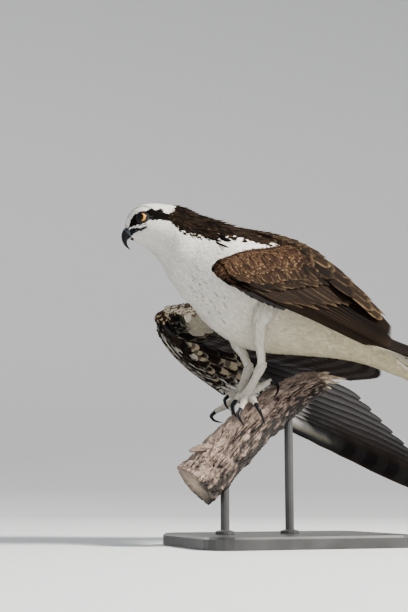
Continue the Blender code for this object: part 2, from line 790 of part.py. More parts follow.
def build_neck(look):
    neck = body_length("neck", HEAD_END, NECK_END, 6, look["white"])
    pick = random.Random(4)
    vanes = []
    for t, count in NAPE_ROWS:
        ring = [Vector(p) for p in body_ring(t)]
        middle = sum(ring, Vector()) / len(ring)
        for i in range(count):
            turn = 0.34 * (i - (count - 1) / 2)
            place = turn / (2 * math.pi) * BODY_SIDES
            j = int(math.floor(place))
            point = ring[j % BODY_SIDES].lerp(ring[(j + 1) % BODY_SIDES], place - j)
            out = (point - middle).normalized()
            back = unit((0.92, 0.16 * turn, -0.24))
            root = point - out * 0.0035 - back * 0.004
            length = NAPE_LENGTH * (0.85 + 0.3 * pick.random())
            tip = point + back * length + out * (0.0035 + 0.003 * pick.random())
            vanes.append(vane(root, tip, out, NAPE_WIDTH, NAPE_THICK, NAPE_PLACES, NAPE_WIDTHS, look["brown"]))
    return united(neck, vanes)


# Branch

BRANCH_ROWS = [
    (-0.0130, 0.0, -0.2440, 0.0330),
    (0.0100, 0.0, -0.2240, 0.0325),
    (0.0330, 0.0, -0.2000, 0.0315),
    (0.0580, 0.0, -0.1750, 0.0300),
    (0.0865, 0.0, -0.1505, 0.0290),
    (0.1100, 0.0, -0.1325, 0.0270),
    (0.1350, 0.0, -0.1160, 0.0240),
    (0.1580, 0.0, -0.1060, 0.0205),
    (0.1760, 0.0, -0.1000, 0.0150),
]
BRANCH_SIDES = 16
SNAG_PATH = [
    (0.0200, -0.0100, -0.2030),
    (0.0040, -0.0125, -0.1955),
    (-0.0110, -0.0130, -0.1955),
    (-0.0250, -0.0130, -0.1995),
]
SNAG_RADII = (0.0095, 0.0065, 0.0048, 0.0022)
# Splinters at the broken end: y, z, how far x they reach, how much they rise, thickness
SPLINTERS = [
    (-0.006, -0.0930, 0.2130, -0.001, 0.0042),
    (0.004, -0.0960, 0.2020, -0.004, 0.0036),
    (0.009, -0.0890, 0.1930, 0.003, 0.0034),
]


def branch_radius(t, angle, radius):
    """The bark's knobbly radius: broad flutes along the branch and lumps near its broken end."""
    flutes = 0.0012 * math.sin(3 * angle + 0.9 * t) + 0.0008 * math.sin(5 * angle - 1.7 * t)
    lumps = noise.noise(Vector((math.cos(angle) * 1.3, math.sin(angle) * 1.3, t * 0.9))) * 0.0022
    return radius + flutes + lumps


def build_branch(name, finish, grow=0.0):
    rings = []
    steps = 14
    for i in range(steps):
        t = (len(BRANCH_ROWS) - 1) * i / (steps - 1)
        x, y, z, radius = spline(BRANCH_ROWS, t)
        ahead = Vector(spline(BRANCH_ROWS, min(t + 0.05, len(BRANCH_ROWS) - 1))[:3])
        behind = Vector(spline(BRANCH_ROWS, max(t - 0.05, 0.0))[:3])
        along = (ahead - behind).normalized()
        side = Vector((0, 1, 0))
        high = side.cross(along).normalized() * -1
        if high.z < 0:
            high = -high
        ring = []
        for j in range(BRANCH_SIDES):
            a = 2 * math.pi * j / BRANCH_SIDES
            r = branch_radius(t, a, radius) + grow
            ring.append(Vector((x, y, z)) + high * (r * math.cos(a)) + side * (r * math.sin(a)))
        rings.append(ring)
    return loft(name, rings, finish)


def build_perch(look):
    branch = build_branch("branch", look["bark"])
    splinters = []
    for y, z, x_end, rise, thick in SPLINTERS:
        path = [(0.160, y, z - 0.006), (0.180, y, z), (x_end, y * 1.2, z + rise)]
        splinters.append(tube("splinter", path, (thick * 1.4, thick, 0.0007), look["bark"], 6, flatten=0.6))
    united(branch, splinters)
    stub = tube("branch_snag", SNAG_PATH, SNAG_RADII, look["bark"], 9)
    cut(stub, [build_branch("branch_fat", look["bark"], GAP)])


# Legs and feet

LEGS = {
    "left": {
        "thigh": [(0.0780, -0.0480, 0.0120), (0.0670, -0.0530, -0.0130), (0.0606, -0.0520, -0.0310),
                  (0.0638, -0.0465, -0.0573), (0.0684, -0.0405, -0.0815)],
        "ankle": (0.0690, -0.0398, -0.0836),
        "pad": (0.0554, -0.0190, -0.1230),
        "toes": {
            "back": [(0.0610, -0.0200, -0.1200), (0.0760, -0.0230, -0.1100), (0.0893, -0.0250, -0.1025)],
            "inner": [(0.0510, -0.0135, -0.1235), (0.0480, -0.0095, -0.1240), (0.0432, -0.0060, -0.1290)],
            "middle": [(0.0505, -0.0245, -0.1290), (0.0460, -0.0290, -0.1340), (0.0397, -0.0340, -0.1434)],
            "outer": [(0.0580, -0.0260, -0.1280), (0.0585, -0.0340, -0.1310), (0.0590, -0.0400, -0.1360)],
        },
        "claws": {
            "back": [(0.0922, -0.0275, -0.1040), (0.0948, -0.0325, -0.1100), (0.0930, -0.0370, -0.1185),
                     (0.0860, -0.0390, -0.1280)],
            "inner": [(0.0412, -0.0056, -0.1318), (0.0383, -0.0066, -0.1387), (0.0395, -0.0085, -0.1463),
                      (0.0460, -0.0100, -0.1535)],
            "middle": [(0.0378, -0.0358, -0.1463), (0.0352, -0.0390, -0.1530), (0.0375, -0.0405, -0.1600),
                       (0.0435, -0.0395, -0.1665)],
            "outer": [(0.0600, -0.0420, -0.1390), (0.0640, -0.0430, -0.1470), (0.0690, -0.0410, -0.1555),
                      (0.0735, -0.0375, -0.1640)],
        },
    },
    "right": {
        "thigh": [(0.0760, 0.0420, 0.0050), (0.0690, 0.0470, -0.0200), (0.0680, 0.0460, -0.0430),
                  (0.0740, 0.0390, -0.0600), (0.0782, 0.0312, -0.0765)],
        "ankle": (0.0788, 0.0300, -0.0785),
        "pad": (0.0580, 0.0190, -0.1215),
        "toes": {
            "back": [(0.0640, 0.0200, -0.1190), (0.0780, 0.0220, -0.1100), (0.0900, 0.0225, -0.1030)],
            "inner": [(0.0530, 0.0140, -0.1205), (0.0456, 0.0120, -0.1197), (0.0376, 0.0090, -0.1220)],
            "middle": [(0.0510, 0.0220, -0.1270), (0.0390, 0.0245, -0.1360), (0.0250, 0.0258, -0.1432)],
            "outer": [(0.0590, 0.0260, -0.1250), (0.0570, 0.0370, -0.1300), (0.0580, 0.0420, -0.1410)],
        },
        "claws": {
            "back": [(0.0930, 0.0240, -0.1040), (0.0965, 0.0285, -0.1090), (0.0965, 0.0325, -0.1170),
                     (0.0920, 0.0350, -0.1250)],
            "inner": [(0.0358, 0.0080, -0.1240), (0.0330, 0.0075, -0.1290), (0.0345, 0.0065, -0.1360),
                      (0.0400, 0.0060, -0.1420)],
            "middle": [(0.0222, 0.0260, -0.1450), (0.0205, 0.0262, -0.1505), (0.0265, 0.0266, -0.1560),
                       (0.0375, 0.0266, -0.1575)],
            "outer": [(0.0590, 0.0428, -0.1448), (0.0620, 0.0420, -0.1530), (0.0665, 0.0390, -0.1610),
                      (0.0710, 0.0350, -0.1670)],
        },
    },
}
THIGH_RADII = (0.0210, 0.0165, 0.0100, 0.0064, 0.0058)
THIGH_STEPS = 8
SHANK_PLACES = (-0.12, 0.12, 0.45, 0.80, 1.0)
SHANK_RADII = (0.0050, 0.0068, 0.0056, 0.0064, 0.0086, 0.0056)
TOE_RADIUS = 0.0054
CLAW_RADIUS = 0.0031


def spline_all(rows, steps):
    return [spline(rows, (len(rows) - 1) * i / (steps - 1)) for i in range(steps)]


def smooth_path(points, steps):
    return [Vector(point) for point in spline_all(points, steps)]


def toe_radii(steps):
    """Toes swell at each pad and narrow between."""
    radii = []
    for i in range(steps):
        s = i / (steps - 1)
        pads = 0.00055 * math.cos(2 * math.pi * 2.5 * s)
        radii.append(TOE_RADIUS * (1.0 - 0.22 * s) - pads)
    radii[-1] = TOE_RADIUS * 0.62
    return radii


def build_leg(word, look):
    """One leg: a feathered thigh, the bare shank, four toes and four claws, each cut to meet the last."""
    leg = LEGS[word]

    def thigh_shape(name, grow):
        radii = [float(r) + grow for r in spline_all(THIGH_RADII, THIGH_STEPS)]
        path = smooth_path(leg["thigh"], THIGH_STEPS)
        path[-1] = path[-1] + (path[-1] - path[-2]).normalized() * grow
        return tube(name, path, radii, look["white"], 12, up=(1, 0, 0))

    thigh = thigh_shape("leg_" + word + "_thigh", 0.0)
    cut(thigh, [body_length("torso_fat", NECK_END, TORSO_END, TORSO_STEPS, look["white"], GAP)])

    ankle, pad = Vector(leg["ankle"]), Vector(leg["pad"])
    low = pad + Vector((-0.001, 0.0, -0.006))

    def shank_shape(name, grow):
        path = [ankle.lerp(pad, place) for place in SHANK_PLACES] + [low + (low - pad).normalized() * grow]
        radii = [r + grow for r in SHANK_RADII]
        return tube(name, path, radii, look["leg"], 10, up=(1, 0, 0))

    tarsus = shank_shape("leg_" + word + "_tarsus", 0.0)
    cut(tarsus, [thigh_shape("thigh_fat", GAP), build_branch("branch_fat", look["bark"], GAP)])

    placed = []
    for number, key in enumerate(("back", "inner", "middle", "outer"), 1):
        toe_path = smooth_path([tuple(pad)] + leg["toes"][key], 6)
        claw_path = smooth_path(leg["claws"][key], 6)
        claw_path[0] = toe_path[-1] - (toe_path[-1] - toe_path[-2]).normalized() * 0.003

        def toe_shape(name, grow):
            path = list(toe_path)
            path[-1] = path[-1] + (path[-1] - path[-2]).normalized() * grow
            return tube(name, path, [r + grow for r in toe_radii(6)], look["leg"], 8, up=(0.1, 0, 1))

        toe = toe_shape("toe_%s_%d" % (word, number), 0.0)
        cut(toe, [shank_shape("shank_fat", GAP), build_branch("branch_fat", look["bark"], GAP)])
        cut(toe, placed, keep=True)
        placed.append(toe_shape("toe_fat", GAP))
        radii = [CLAW_RADIUS * (1.0 - 0.15 * i) for i in range(5)] + [0.0003]
        claw = tube("claw_%s_%d" % (word, number), claw_path, radii, look["horn"], 6, up=(0, 1, 0.1))
        cut(claw, [build_branch("branch_fat", look["bark"], GAP)])
        cut(claw, placed[-1:], keep=True)
    for shape in placed:
        remove(shape)


# Display stand

BASE_SIZE = (0.300, 0.220, 0.016)
BASE_CORNER = 0.030
ROD_RADIUS = 0.006
ROD_AT = (0.030, 0.125)
ROD_FOOT = 0.013
ROD_RISE = 0.284


def build_stand(look):
    """A flat rounded base with two short rods that reach up into the branch's underside."""
    length, width, height = BASE_SIZE
    outline = []
    for corner_x, corner_y, start in ((1, 1, 0), (-1, 1, 90), (-1, -1, 180), (1, -1, 270)):
        for k in range(5):
            a = math.radians(start + 22.5 * k)
            x = corner_x * (length / 2 - BASE_CORNER) + BASE_CORNER * math.cos(a)
            y = corner_y * (width / 2 - BASE_CORNER) + BASE_CORNER * math.sin(a)
            outline.append((x, y))
    rings = []
    for inset, z in ((0.0, 0.0), (0.0, height - 0.0030), (0.0030, height)):
        ring = []
        for x, y in outline:
            shrink = 1 - inset / (length / 2)
            ring.append(Vector((x * shrink, y * shrink, z)) - BIRD_AT)
        rings.append(ring)
    loft("stand_base", rings, look["stand"])
    for word, x in zip(("front", "back"), ROD_AT):
        path, radii = [], []
        for rise, r in ((GAP, ROD_FOOT), (0.004, ROD_FOOT), (0.006, ROD_RADIUS), (ROD_RISE, ROD_RADIUS)):
            path.append(Vector((x + BIRD_AT.x, 0.0, height + rise)) - BIRD_AT)
            radii.append(r)
        rod = tube("stand_rod_" + word, path, radii, look["stand"], 12, up=(1, 0, 0))
        cut(rod, [build_branch("branch_fat", look["bark"], GAP)])


def main():
    for obj in list(bpy.data.objects):
        bpy.data.objects.remove(obj)
    look = finishes()
    build_head(look)
    build_bill(look)
    build_eyes(look)
    build_neck(look)
    body_length("torso", NECK_END, TORSO_END, TORSO_STEPS, look["white"])
    build_tail(look)
    for word in ("left", "right"):
        build_wing(word, look)
        build_leg(word, look)
    build_perch(look)
    build_stand(look)


main()
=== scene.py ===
"""The looks of the osprey on its branch: skin, plumage, bill, eyes, feet, bark and stand, with light and camera."""

import math

import bmesh
import bpy
import numpy as np
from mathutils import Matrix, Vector, kdtree, noise


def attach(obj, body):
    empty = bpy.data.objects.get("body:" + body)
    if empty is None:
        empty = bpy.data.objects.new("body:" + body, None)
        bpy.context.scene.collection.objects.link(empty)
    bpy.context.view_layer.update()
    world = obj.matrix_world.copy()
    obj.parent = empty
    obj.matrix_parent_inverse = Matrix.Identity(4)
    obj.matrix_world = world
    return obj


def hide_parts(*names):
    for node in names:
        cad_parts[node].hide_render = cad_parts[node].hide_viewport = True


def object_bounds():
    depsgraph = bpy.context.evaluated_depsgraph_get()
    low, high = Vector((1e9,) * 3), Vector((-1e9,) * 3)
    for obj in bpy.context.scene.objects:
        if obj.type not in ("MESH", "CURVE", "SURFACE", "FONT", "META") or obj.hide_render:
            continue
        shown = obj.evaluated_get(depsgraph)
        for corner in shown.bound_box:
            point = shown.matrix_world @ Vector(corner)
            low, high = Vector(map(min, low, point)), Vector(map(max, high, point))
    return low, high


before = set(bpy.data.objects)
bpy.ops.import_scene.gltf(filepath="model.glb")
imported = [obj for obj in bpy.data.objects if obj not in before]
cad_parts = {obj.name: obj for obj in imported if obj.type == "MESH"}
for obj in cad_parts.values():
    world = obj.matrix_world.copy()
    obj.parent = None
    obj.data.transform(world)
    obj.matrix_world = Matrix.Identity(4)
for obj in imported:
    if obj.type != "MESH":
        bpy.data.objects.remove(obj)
CAD_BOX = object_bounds()

# The same sizes as the solids, in metres in the bird's own frame
BIRD_AT = np.array((-0.120, 0.0, 0.325))
HEAD_YAW = math.radians(10.0)
HEAD_PIVOT_X = -0.030
BODY_ROWS = [
    (-0.1130, 0.1085, -0.1030, 0.0905, 0.0085, 0.0),
    (-0.1085, 0.1210, -0.0985, 0.0865, 0.0140, 0.0),
    (-0.1005, 0.1310, -0.0920, 0.0835, 0.0190, 0.0),
    (-0.0880, 0.1380, -0.0830, 0.0790, 0.0235, 0.0),
    (-0.0740, 0.1405, -0.0735, 0.0715, 0.0265, 0.0),
    (-0.0590, 0.1400, -0.0655, 0.0630, 0.0290, 0.0),
    (-0.0440, 0.1385, -0.0570, 0.0510, 0.0320, 0.0),
    (-0.0300, 0.1345, -0.0500, 0.0370, 0.0360, 0.0),
    (-0.0130, 0.1275, -0.0398, 0.0244, 0.0405, 0.0),
    (0.0060, 0.1220, -0.0288, 0.0112, 0.0480, 0.05),
    (0.0300, 0.1165, -0.0128, -0.0018, 0.0572, 0.10),
    (0.0600, 0.1110, 0.0060, -0.0230, 0.0650, 0.12),
    (0.0920, 0.1095, 0.0340, -0.0430, 0.0680, 0.12),
    (0.1220, 0.1030, 0.0660, -0.0560, 0.0680, 0.10),
    (0.1500, 0.0860, 0.1020, -0.0610, 0.0640, 0.08),
    (0.1780, 0.0640, 0.1420, -0.0620, 0.0560, 0.05),
    (0.2060, 0.0400, 0.1830, -0.0630, 0.0460, 0.0),
    (0.2340, 0.0150, 0.2220, -0.0660, 0.0360, 0.0),
    (0.2620, -0.0100, 0.2580, -0.0730, 0.0270, 0.0),
    (0.2900, -0.0310, 0.2920, -0.0830, 0.0210, 0.0),
    (0.3160, -0.0480, 0.3220, -0.0920, 0.0170, 0.0),
]
EYE_AT = (-0.0885, 0.0165, 0.1155)
EYE_RADIUS = 0.0078

rng = np.random.default_rng(7)


# Geometry helpers, all on arrays

def spline(rows, t):
    """A Catmull-Rom curve through rows of numbers, for an array of places from 0 to len(rows) - 1."""
    rows = np.asarray(rows, float)
    t = np.asarray(t, float)
    last = len(rows) - 1
    padded = np.vstack([2 * rows[0] - rows[1], rows, 2 * rows[-1] - rows[-2]])
    i = np.clip(np.floor(t), 0, last - 1).astype(int)
    f = (t - i)[..., None]
    p0, p1, p2, p3 = padded[i], padded[i + 1], padded[i + 2], padded[i + 3]
    return 0.5 * (
        2 * p1
        + (p2 - p0) * f
        + (2 * p0 - 5 * p1 + 4 * p2 - p3) * f * f
        + (3 * p1 - p0 - 3 * p2 + p3) * f ** 3
    )


def smooth(x):
    x = np.clip(x, 0.0, 1.0)
    return x * x * (3 - 2 * x)


def unit(v):
    v = np.asarray(v, float)
    return v / np.maximum(np.linalg.norm(v, axis=-1, keepdims=True), 1e-12)


def turned(points, share=1.0):
    """Points of the head, turned with it about the neck."""
    points = np.asarray(points, float)
    a = HEAD_YAW * np.asarray(share, float)
    x = points[..., 0] - HEAD_PIVOT_X
    y = points[..., 1]
    return np.stack([
        HEAD_PIVOT_X + x * np.cos(a) + y * np.sin(a),
        -x * np.sin(a) + y * np.cos(a),
        points[..., 2],
    ], -1)


def chance(n, low=0.0, high=1.0):
    return rng.uniform(low, high, n)


def table(x, xs, ys):
    return np.interp(x, xs, ys)


class Surface:
    """A surface that feathers lie on. u runs the way they point, w runs across them."""

    eps_u = 0.002
    eps_w = 0.01
    flip = 1.0
    cell = (0.0, 0.0, 1.0, 1.0)
    u_span = (0.0, 1.0)
    w_span = (0.0, 1.0)

    def point(self, u, w):
        raise NotImplementedError

    def frame(self, u, w):
        """Points, outward normals and the metres that one step of u and of w cover."""
        p = self.point(u, w)
        pu = (self.point(u + self.eps_u, w) - self.point(u - self.eps_u, w)) / (2 * self.eps_u)
        pw = (self.point(u, w + self.eps_w) - self.point(u, w - self.eps_w)) / (2 * self.eps_w)
        n = unit(np.cross(pu, pw)) * self.flip
        return p, n, np.linalg.norm(pu, axis=-1), np.linalg.norm(pw, axis=-1)

    def unwrap(self, u, w):
        """The place of (u, w) on the flat unwrap of this surface."""
        x0, y0, x1, y1 = self.cell
        fu = np.clip((u - self.u_span[0]) / (self.u_span[1] - self.u_span[0]), 0, 1)
        fw = np.clip((w - self.w_span[0]) / (self.w_span[1] - self.w_span[0]), 0, 1)
        return np.stack([x0 + (x1 - x0) * fu, y0 + (y1 - y0) * fw], -1)


class Body(Surface):
    """Head, neck, torso and rump. u is the section number, w the angle from the back's middle."""

    eps_u = 0.02
    eps_w = 0.01
    cell = (0.01, 0.01, 0.99, 0.44)
    u_span = (0.0, 20.0)
    w_span = (-math.pi, math.pi)

    def point(self, u, w, grow=0.0):
        u, w = np.broadcast_arrays(np.asarray(u, float), np.asarray(w, float))
        rows = spline(BODY_ROWS, u)
        tx, tz, bx, bz, half, full = [rows[..., k] for k in range(6)]
        mx, mz = (tx + bx) / 2, (tz + bz) / 2
        hx, hz = (tx - bx) / 2, (tz - bz) / 2
        tall = np.hypot(hx, hz)
        swell = grow + brow_swell(u, w)
        stretch = (tall + swell) / tall
        c, s = np.cos(w), np.sin(w)
        flat = np.stack([mx + hx * stretch * c, (half + swell) * s * (1 + full * c), mz + hz * stretch * c], -1)
        return turned(flat, smooth((-0.022 - mx) / 0.040))


def brow_swell(u, w):
    """The ridge over the eye and the shallow hollow that the eye sits in."""
    side = np.abs(np.degrees(w))
    ridge = 0.0034 * np.exp(-((side - 55) / 8) ** 2) * np.exp(-((u - 2.6) / 1.1) ** 2)
    hollow = 0.0012 * np.exp(-((side - 80) / 14) ** 2) * np.exp(-((u - 2.75) / 0.7) ** 2)
    return ridge - hollow


body = Body()


# Feather shapes: points as (along, across, over, ring), with triangles between them

def feather_shape(rings, uppers, lowers):
    """A closed feather. rings are (along, half width), uppers are (across, over) and lowers are (across, under)."""
    points = [(0.0, 0.0, 0.0, 0)]
    section = [(x, z) for x, z in uppers] + [(x, -z) for x, z in lowers]
    count = len(section)
    for k, (s, half) in enumerate(rings):
        for x, z in section:
            points.append((s, x * half, z * (1 - 0.6 * s), k))
    points.append((1.0, 0.0, 0.0, len(rings) - 1))
    end = len(points) - 1
    faces = []
    for j in range(count):
        nxt = (j + 1) % count
        faces.append((0, 1 + j, 1 + nxt))
        for k in range(len(rings) - 1):
            a, b = 1 + k * count + j, 1 + k * count + nxt
            faces.append((a, a + count, b + count))
            faces.append((a, b + count, b))
        a = 1 + (len(rings) - 1) * count
        faces.append((a + j, end, a + nxt))
    return {
        "points": np.array(points, float)[:, :3],
        "ring": np.array([p[3] for p in points], int),
        "rings": len(rings),
        "faces": np.array(faces, int),
    }


SMALL = feather_shape(
    [(0.12, 0.50), (0.36, 0.95), (0.60, 1.0), (0.81, 0.72), (0.94, 0.36)],
    [(-1, 0), (0, 1), (1, 0)],
    [(0, 0.3)],
)
MEDIUM = feather_shape(
    [(0.06, 0.25), (0.22, 0.66), (0.45, 0.95), (0.66, 1.0), (0.82, 0.86), (0.92, 0.62), (0.98, 0.32)],
    [(-1, 0), (-0.5, 0.75), (0, 1.0), (0.5, 0.75), (1, 0)],
    [(0, 0.3)],
)


def long_shape(stations, outline):
    rings = [(s, float(np.interp(s, outline[0], outline[1]))) for s in stations]
    return feather_shape(
        rings,
        [(-1, 0), (-0.55, 0.55), (-0.08, 0.75), (0, 1.6), (0.08, 0.75), (0.55, 0.55), (1, 0)],
        [(0.5, 0.35), (0, 0.9), (-0.5, 0.35)],
    )


FLIGHT_STATIONS = [0.02, 0.08, 0.15] + [0.15 + 0.7 * k / 16 for k in range(1, 17)] + [0.89, 0.93, 0.96, 0.98, 0.993]
ROUNDED = ((0.0, 0.2, 0.6, 0.86, 0.94, 0.98, 1.0), (0.16, 0.72, 0.95, 1.0, 0.80, 0.50, 0.15))
POINTED = ((0.0, 0.2, 0.5, 0.75, 0.9, 0.97, 1.0), (0.16, 0.74, 0.95, 1.0, 0.66, 0.34, 0.08))
FLIGHT = long_shape(FLIGHT_STATIONS, ROUNDED)
PRIMARY = long_shape(FLIGHT_STATIONS, POINTED)
COVERT_STATIONS = [0.05, 0.16, 0.30, 0.45, 0.60, 0.73, 0.83, 0.90, 0.95, 0.985]
COVERT = feather_shape(
    [(s, float(np.interp(s, (0, 0.2, 0.55, 0.78, 0.9, 0.97, 1), (0.16, 0.7, 0.97, 1.0, 0.78, 0.42, 0.1))))
     for s in COVERT_STATIONS],
    [(-1, 0), (-0.5, 0.7), (0, 1.2), (0.5, 0.7), (1, 0)],
    [(0, 0.4)],
)


class Coat:
    """Feathers gathered into one mesh piece: points, triangles, tints, bake places and places on the vane."""

    def __init__(self):
        self.points, self.faces, self.tints, self.bake, self.vane = [], [], [], [], []
        self.rims, self.bars = [], []
        self.count = 0

    def add(self, points, faces, tints, bake, vane, rims, bars):
        n, k = points.shape[:2]
        self.rims.append(rims.reshape(-1, 4))
        self.bars.append(bars.reshape(-1, 4))
        offsets = self.count + np.arange(n)[:, None, None] * k
        self.points.append(points.reshape(-1, 3))
        self.faces.append((faces[None] + offsets).reshape(-1, 3))
        self.tints.append(np.broadcast_to(tints, (n, k, 3)).reshape(-1, 3))
        self.bake.append(bake.reshape(-1, 2))
        self.vane.append(vane.reshape(-1, 2))
        self.count += n * k

    def lay(self, surface, u, w, length, width, low, high, tint, shape=SMALL, turn=0.0, tilt=0.0, droop=0.0,
            thick=0.0003, curl=0.0, ragged=0.0, patch=0.003, keep=None, rim=None, bar=None, under=None,
            bar_above=0.0):
        """Lays feathers on a surface, rooted at (u, w). low and high are the heights of root and tip.

        tilt raises the edge on the side of growing w, droop lowers both edges, curl bends the tip up.
        tint is a function of the feather's number, the share along it and the share across it, and under is
        the same for its lower face. rim and bar are a colour and a strength for each feather.
        """
        u, w = [np.atleast_1d(np.asarray(a, float)) for a in (u, w)]
        n = len(u)
        full = [np.broadcast_to(np.asarray(a, float), (n,)) for a in
                (length, width, low, high, turn, tilt, droop, thick, curl)]
        length, width, low, high, turn, tilt, droop, thick, curl = full
        s, x, z = shape["points"].T
        wobble = 1.0 + ragged * rng.uniform(-1, 1, (n, shape["rings"]))[:, shape["ring"]]
        across = x[None] * wobble
        _, _, mu, mw = surface.frame(u, w)
        mu, mw = np.maximum(mu, 1e-6), np.maximum(mw, 1e-6)
        along_m = s[None] * length[:, None]
        across_m = across * (width / 2)[:, None]
        c, sn = np.cos(turn)[:, None], np.sin(turn)[:, None]
        uu = u[:, None] + (along_m * c - across_m * sn) / mu[:, None]
        ww = w[:, None] + (along_m * sn + across_m * c) / mw[:, None]
        p, normal, _, _ = surface.frame(uu, ww)
        height = low[:, None] + (high - low)[:, None] * s[None] + tilt[:, None] * across
        height = height - droop[:, None] * across ** 2 + thick[:, None] * z[None] + curl[:, None] * s[None] ** 3
        points = p + normal * height[..., None]
        index = np.arange(n)[:, None]
        tints = tint(index, np.broadcast_to(s[None], across.shape), across)
        if under is not None:
            below = under(index, np.broadcast_to(s[None], across.shape), across)
            tints = np.where((z < -1e-9)[None, :, None], below, tints)
        rims, bars = np.zeros(across.shape + (4,)), np.zeros(across.shape + (4,))
        for store, given in ((rims, rim), (bars, bar)):
            if given is not None:
                store[..., :3] = given[0][:, None, :]
                store[..., 3] = np.broadcast_to(given[1], (n,))[:, None]
        if under is not None:
            bars[..., 3] *= np.where(z < -1e-9, 1.0, bar_above)[None]
        root = surface.unwrap(u, w)[:, None, :]
        bake = root + np.stack([np.broadcast_to(s[None], across.shape) - 0.5, across / 2], -1) * patch
        vane = np.stack([across * 0.5 + 0.5, np.broadcast_to(s[None], across.shape)], -1)
        if keep is not None:
            good = keep(p)
            points, tints, bake, vane = points[good], tints[good], bake[good], vane[good]
            rims, bars = rims[good], bars[good]
        self.add(points, shape["faces"], tints, bake, vane, rims, bars)

    def triangles(self):
        return sum(len(f) for f in self.faces)


def make_object(name, points, faces, finish, tints=None, uvs=None, flat=False, sharp=50, extra=()):
    """A mesh object in the stand's frame from arrays in the bird's frame."""
    points = np.asarray(points, float) + BIRD_AT
    faces = np.asarray(faces, int)
    sides = faces.shape[1]
    mesh = bpy.data.meshes.new(name)
    mesh.vertices.add(len(points))
    mesh.vertices.foreach_set("co", points.astype(np.float32).ravel())
    mesh.loops.add(faces.size)
    mesh.loops.foreach_set("vertex_index", faces.astype(np.int32).ravel())
    mesh.polygons.add(len(faces))
    mesh.polygons.foreach_set("loop_start", np.arange(0, faces.size, sides, dtype=np.int32))
    mesh.update(calc_edges=True)
    mesh.validate()
    if tints is not None:
        layer = mesh.color_attributes.new("tint", "FLOAT_COLOR", "POINT")
        colours = np.ones((len(points), 4), np.float32)
        colours[:, :3] = tints
        layer.data.foreach_set("color", colours.ravel())
    for key, values in extra:
        layer = mesh.color_attributes.new(key, "FLOAT_COLOR", "POINT")
        layer.data.foreach_set("color", values.astype(np.float32).ravel())
    if uvs:
        for key, places in uvs.items():
            layer = mesh.uv_layers.new(name=key)
            layer.data.foreach_set("uv", places[faces.ravel()].astype(np.float32).ravel())
    if not flat:
        mesh.shade_smooth()
        if sharp:
            mesh.set_sharp_from_angle(angle=math.radians(sharp))
    obj = bpy.data.objects.new(name, mesh)
    obj.data.materials.append(finish)
    bpy.context.scene.collection.objects.link(obj)
    return obj


def coat_object(name, coat, finish):
    points = np.vstack(coat.points)
    low, high = np.array(CAD_BOX[0]) - BIRD_AT, np.array(CAD_BOX[1]) - BIRD_AT
    points = np.clip(points, low, high)
    obj = make_object(
        name, points, np.vstack(coat.faces), finish, np.vstack(coat.tints),
        {"OFBake": np.vstack(coat.bake), "vane": np.vstack(coat.vane)},
        extra=(("rim", np.vstack(coat.rims)), ("bar", np.vstack(coat.bars))),
    )
    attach(obj, "root")
    return obj


# Colours, in linear light

WHITE = np.array((0.84, 0.825, 0.79))
CREAM = np.array((0.74, 0.67, 0.52))
# An olive buff that stands for the white belly in painted shade.
BELLY_IN_SHADE = np.array((0.47, 0.41, 0.26))
BUFF = np.array((0.50, 0.34, 0.16))
TAN = np.array((0.245, 0.152, 0.080))
RUFOUS = np.array((0.052, 0.024, 0.013))
BROWN = np.array((0.033, 0.0205, 0.0125))
DARK = np.array((0.010, 0.007, 0.005))
BLACK = np.array((0.0035, 0.003, 0.003))
GREY = np.array((0.33, 0.33, 0.33))
CHARCOAL = np.array((0.026, 0.027, 0.030))


def mix(a, b, share):
    share = np.asarray(share, float)[..., None]
    return np.asarray(a) * (1 - share) + np.asarray(b) * share


MASK_TOP = (
    (0.5, 1.0, 1.5, 2.0, 2.85, 3.25, 3.5, 4.05, 4.55, 4.85, 5.35, 5.65, 5.9, 6.25),
    (74.0, 62.0, 57.0, 58.0, 60.0, 58.0, 50.0, 52.0, 47.0, 56.0, 58.0, 48.0, 32.0, -5.0),
)
MASK_LOW = (
    (0.5, 1.0, 2.1, 2.85, 3.45, 4.15, 4.8, 5.3, 5.8, 6.1, 6.6, 7.0, 7.45, 7.9, 8.45, 8.9, 9.2, 9.6, 10.0, 10.8,
     11.4, 11.8, 12.8, 13.6, 18.0, 20.0),
    (86.0, 92.0, 98.0, 96.0, 84.0, 79.0, 75.0, 75.0, 78.0, 80.0, 82.0, 80.0, 78.0, 79.0, 73.0, 71.0, 64.0, 60.0,
     58.0, 51.0, 53.0, 48.0, 50.0, 84.0, 82.0, 78.0),
)


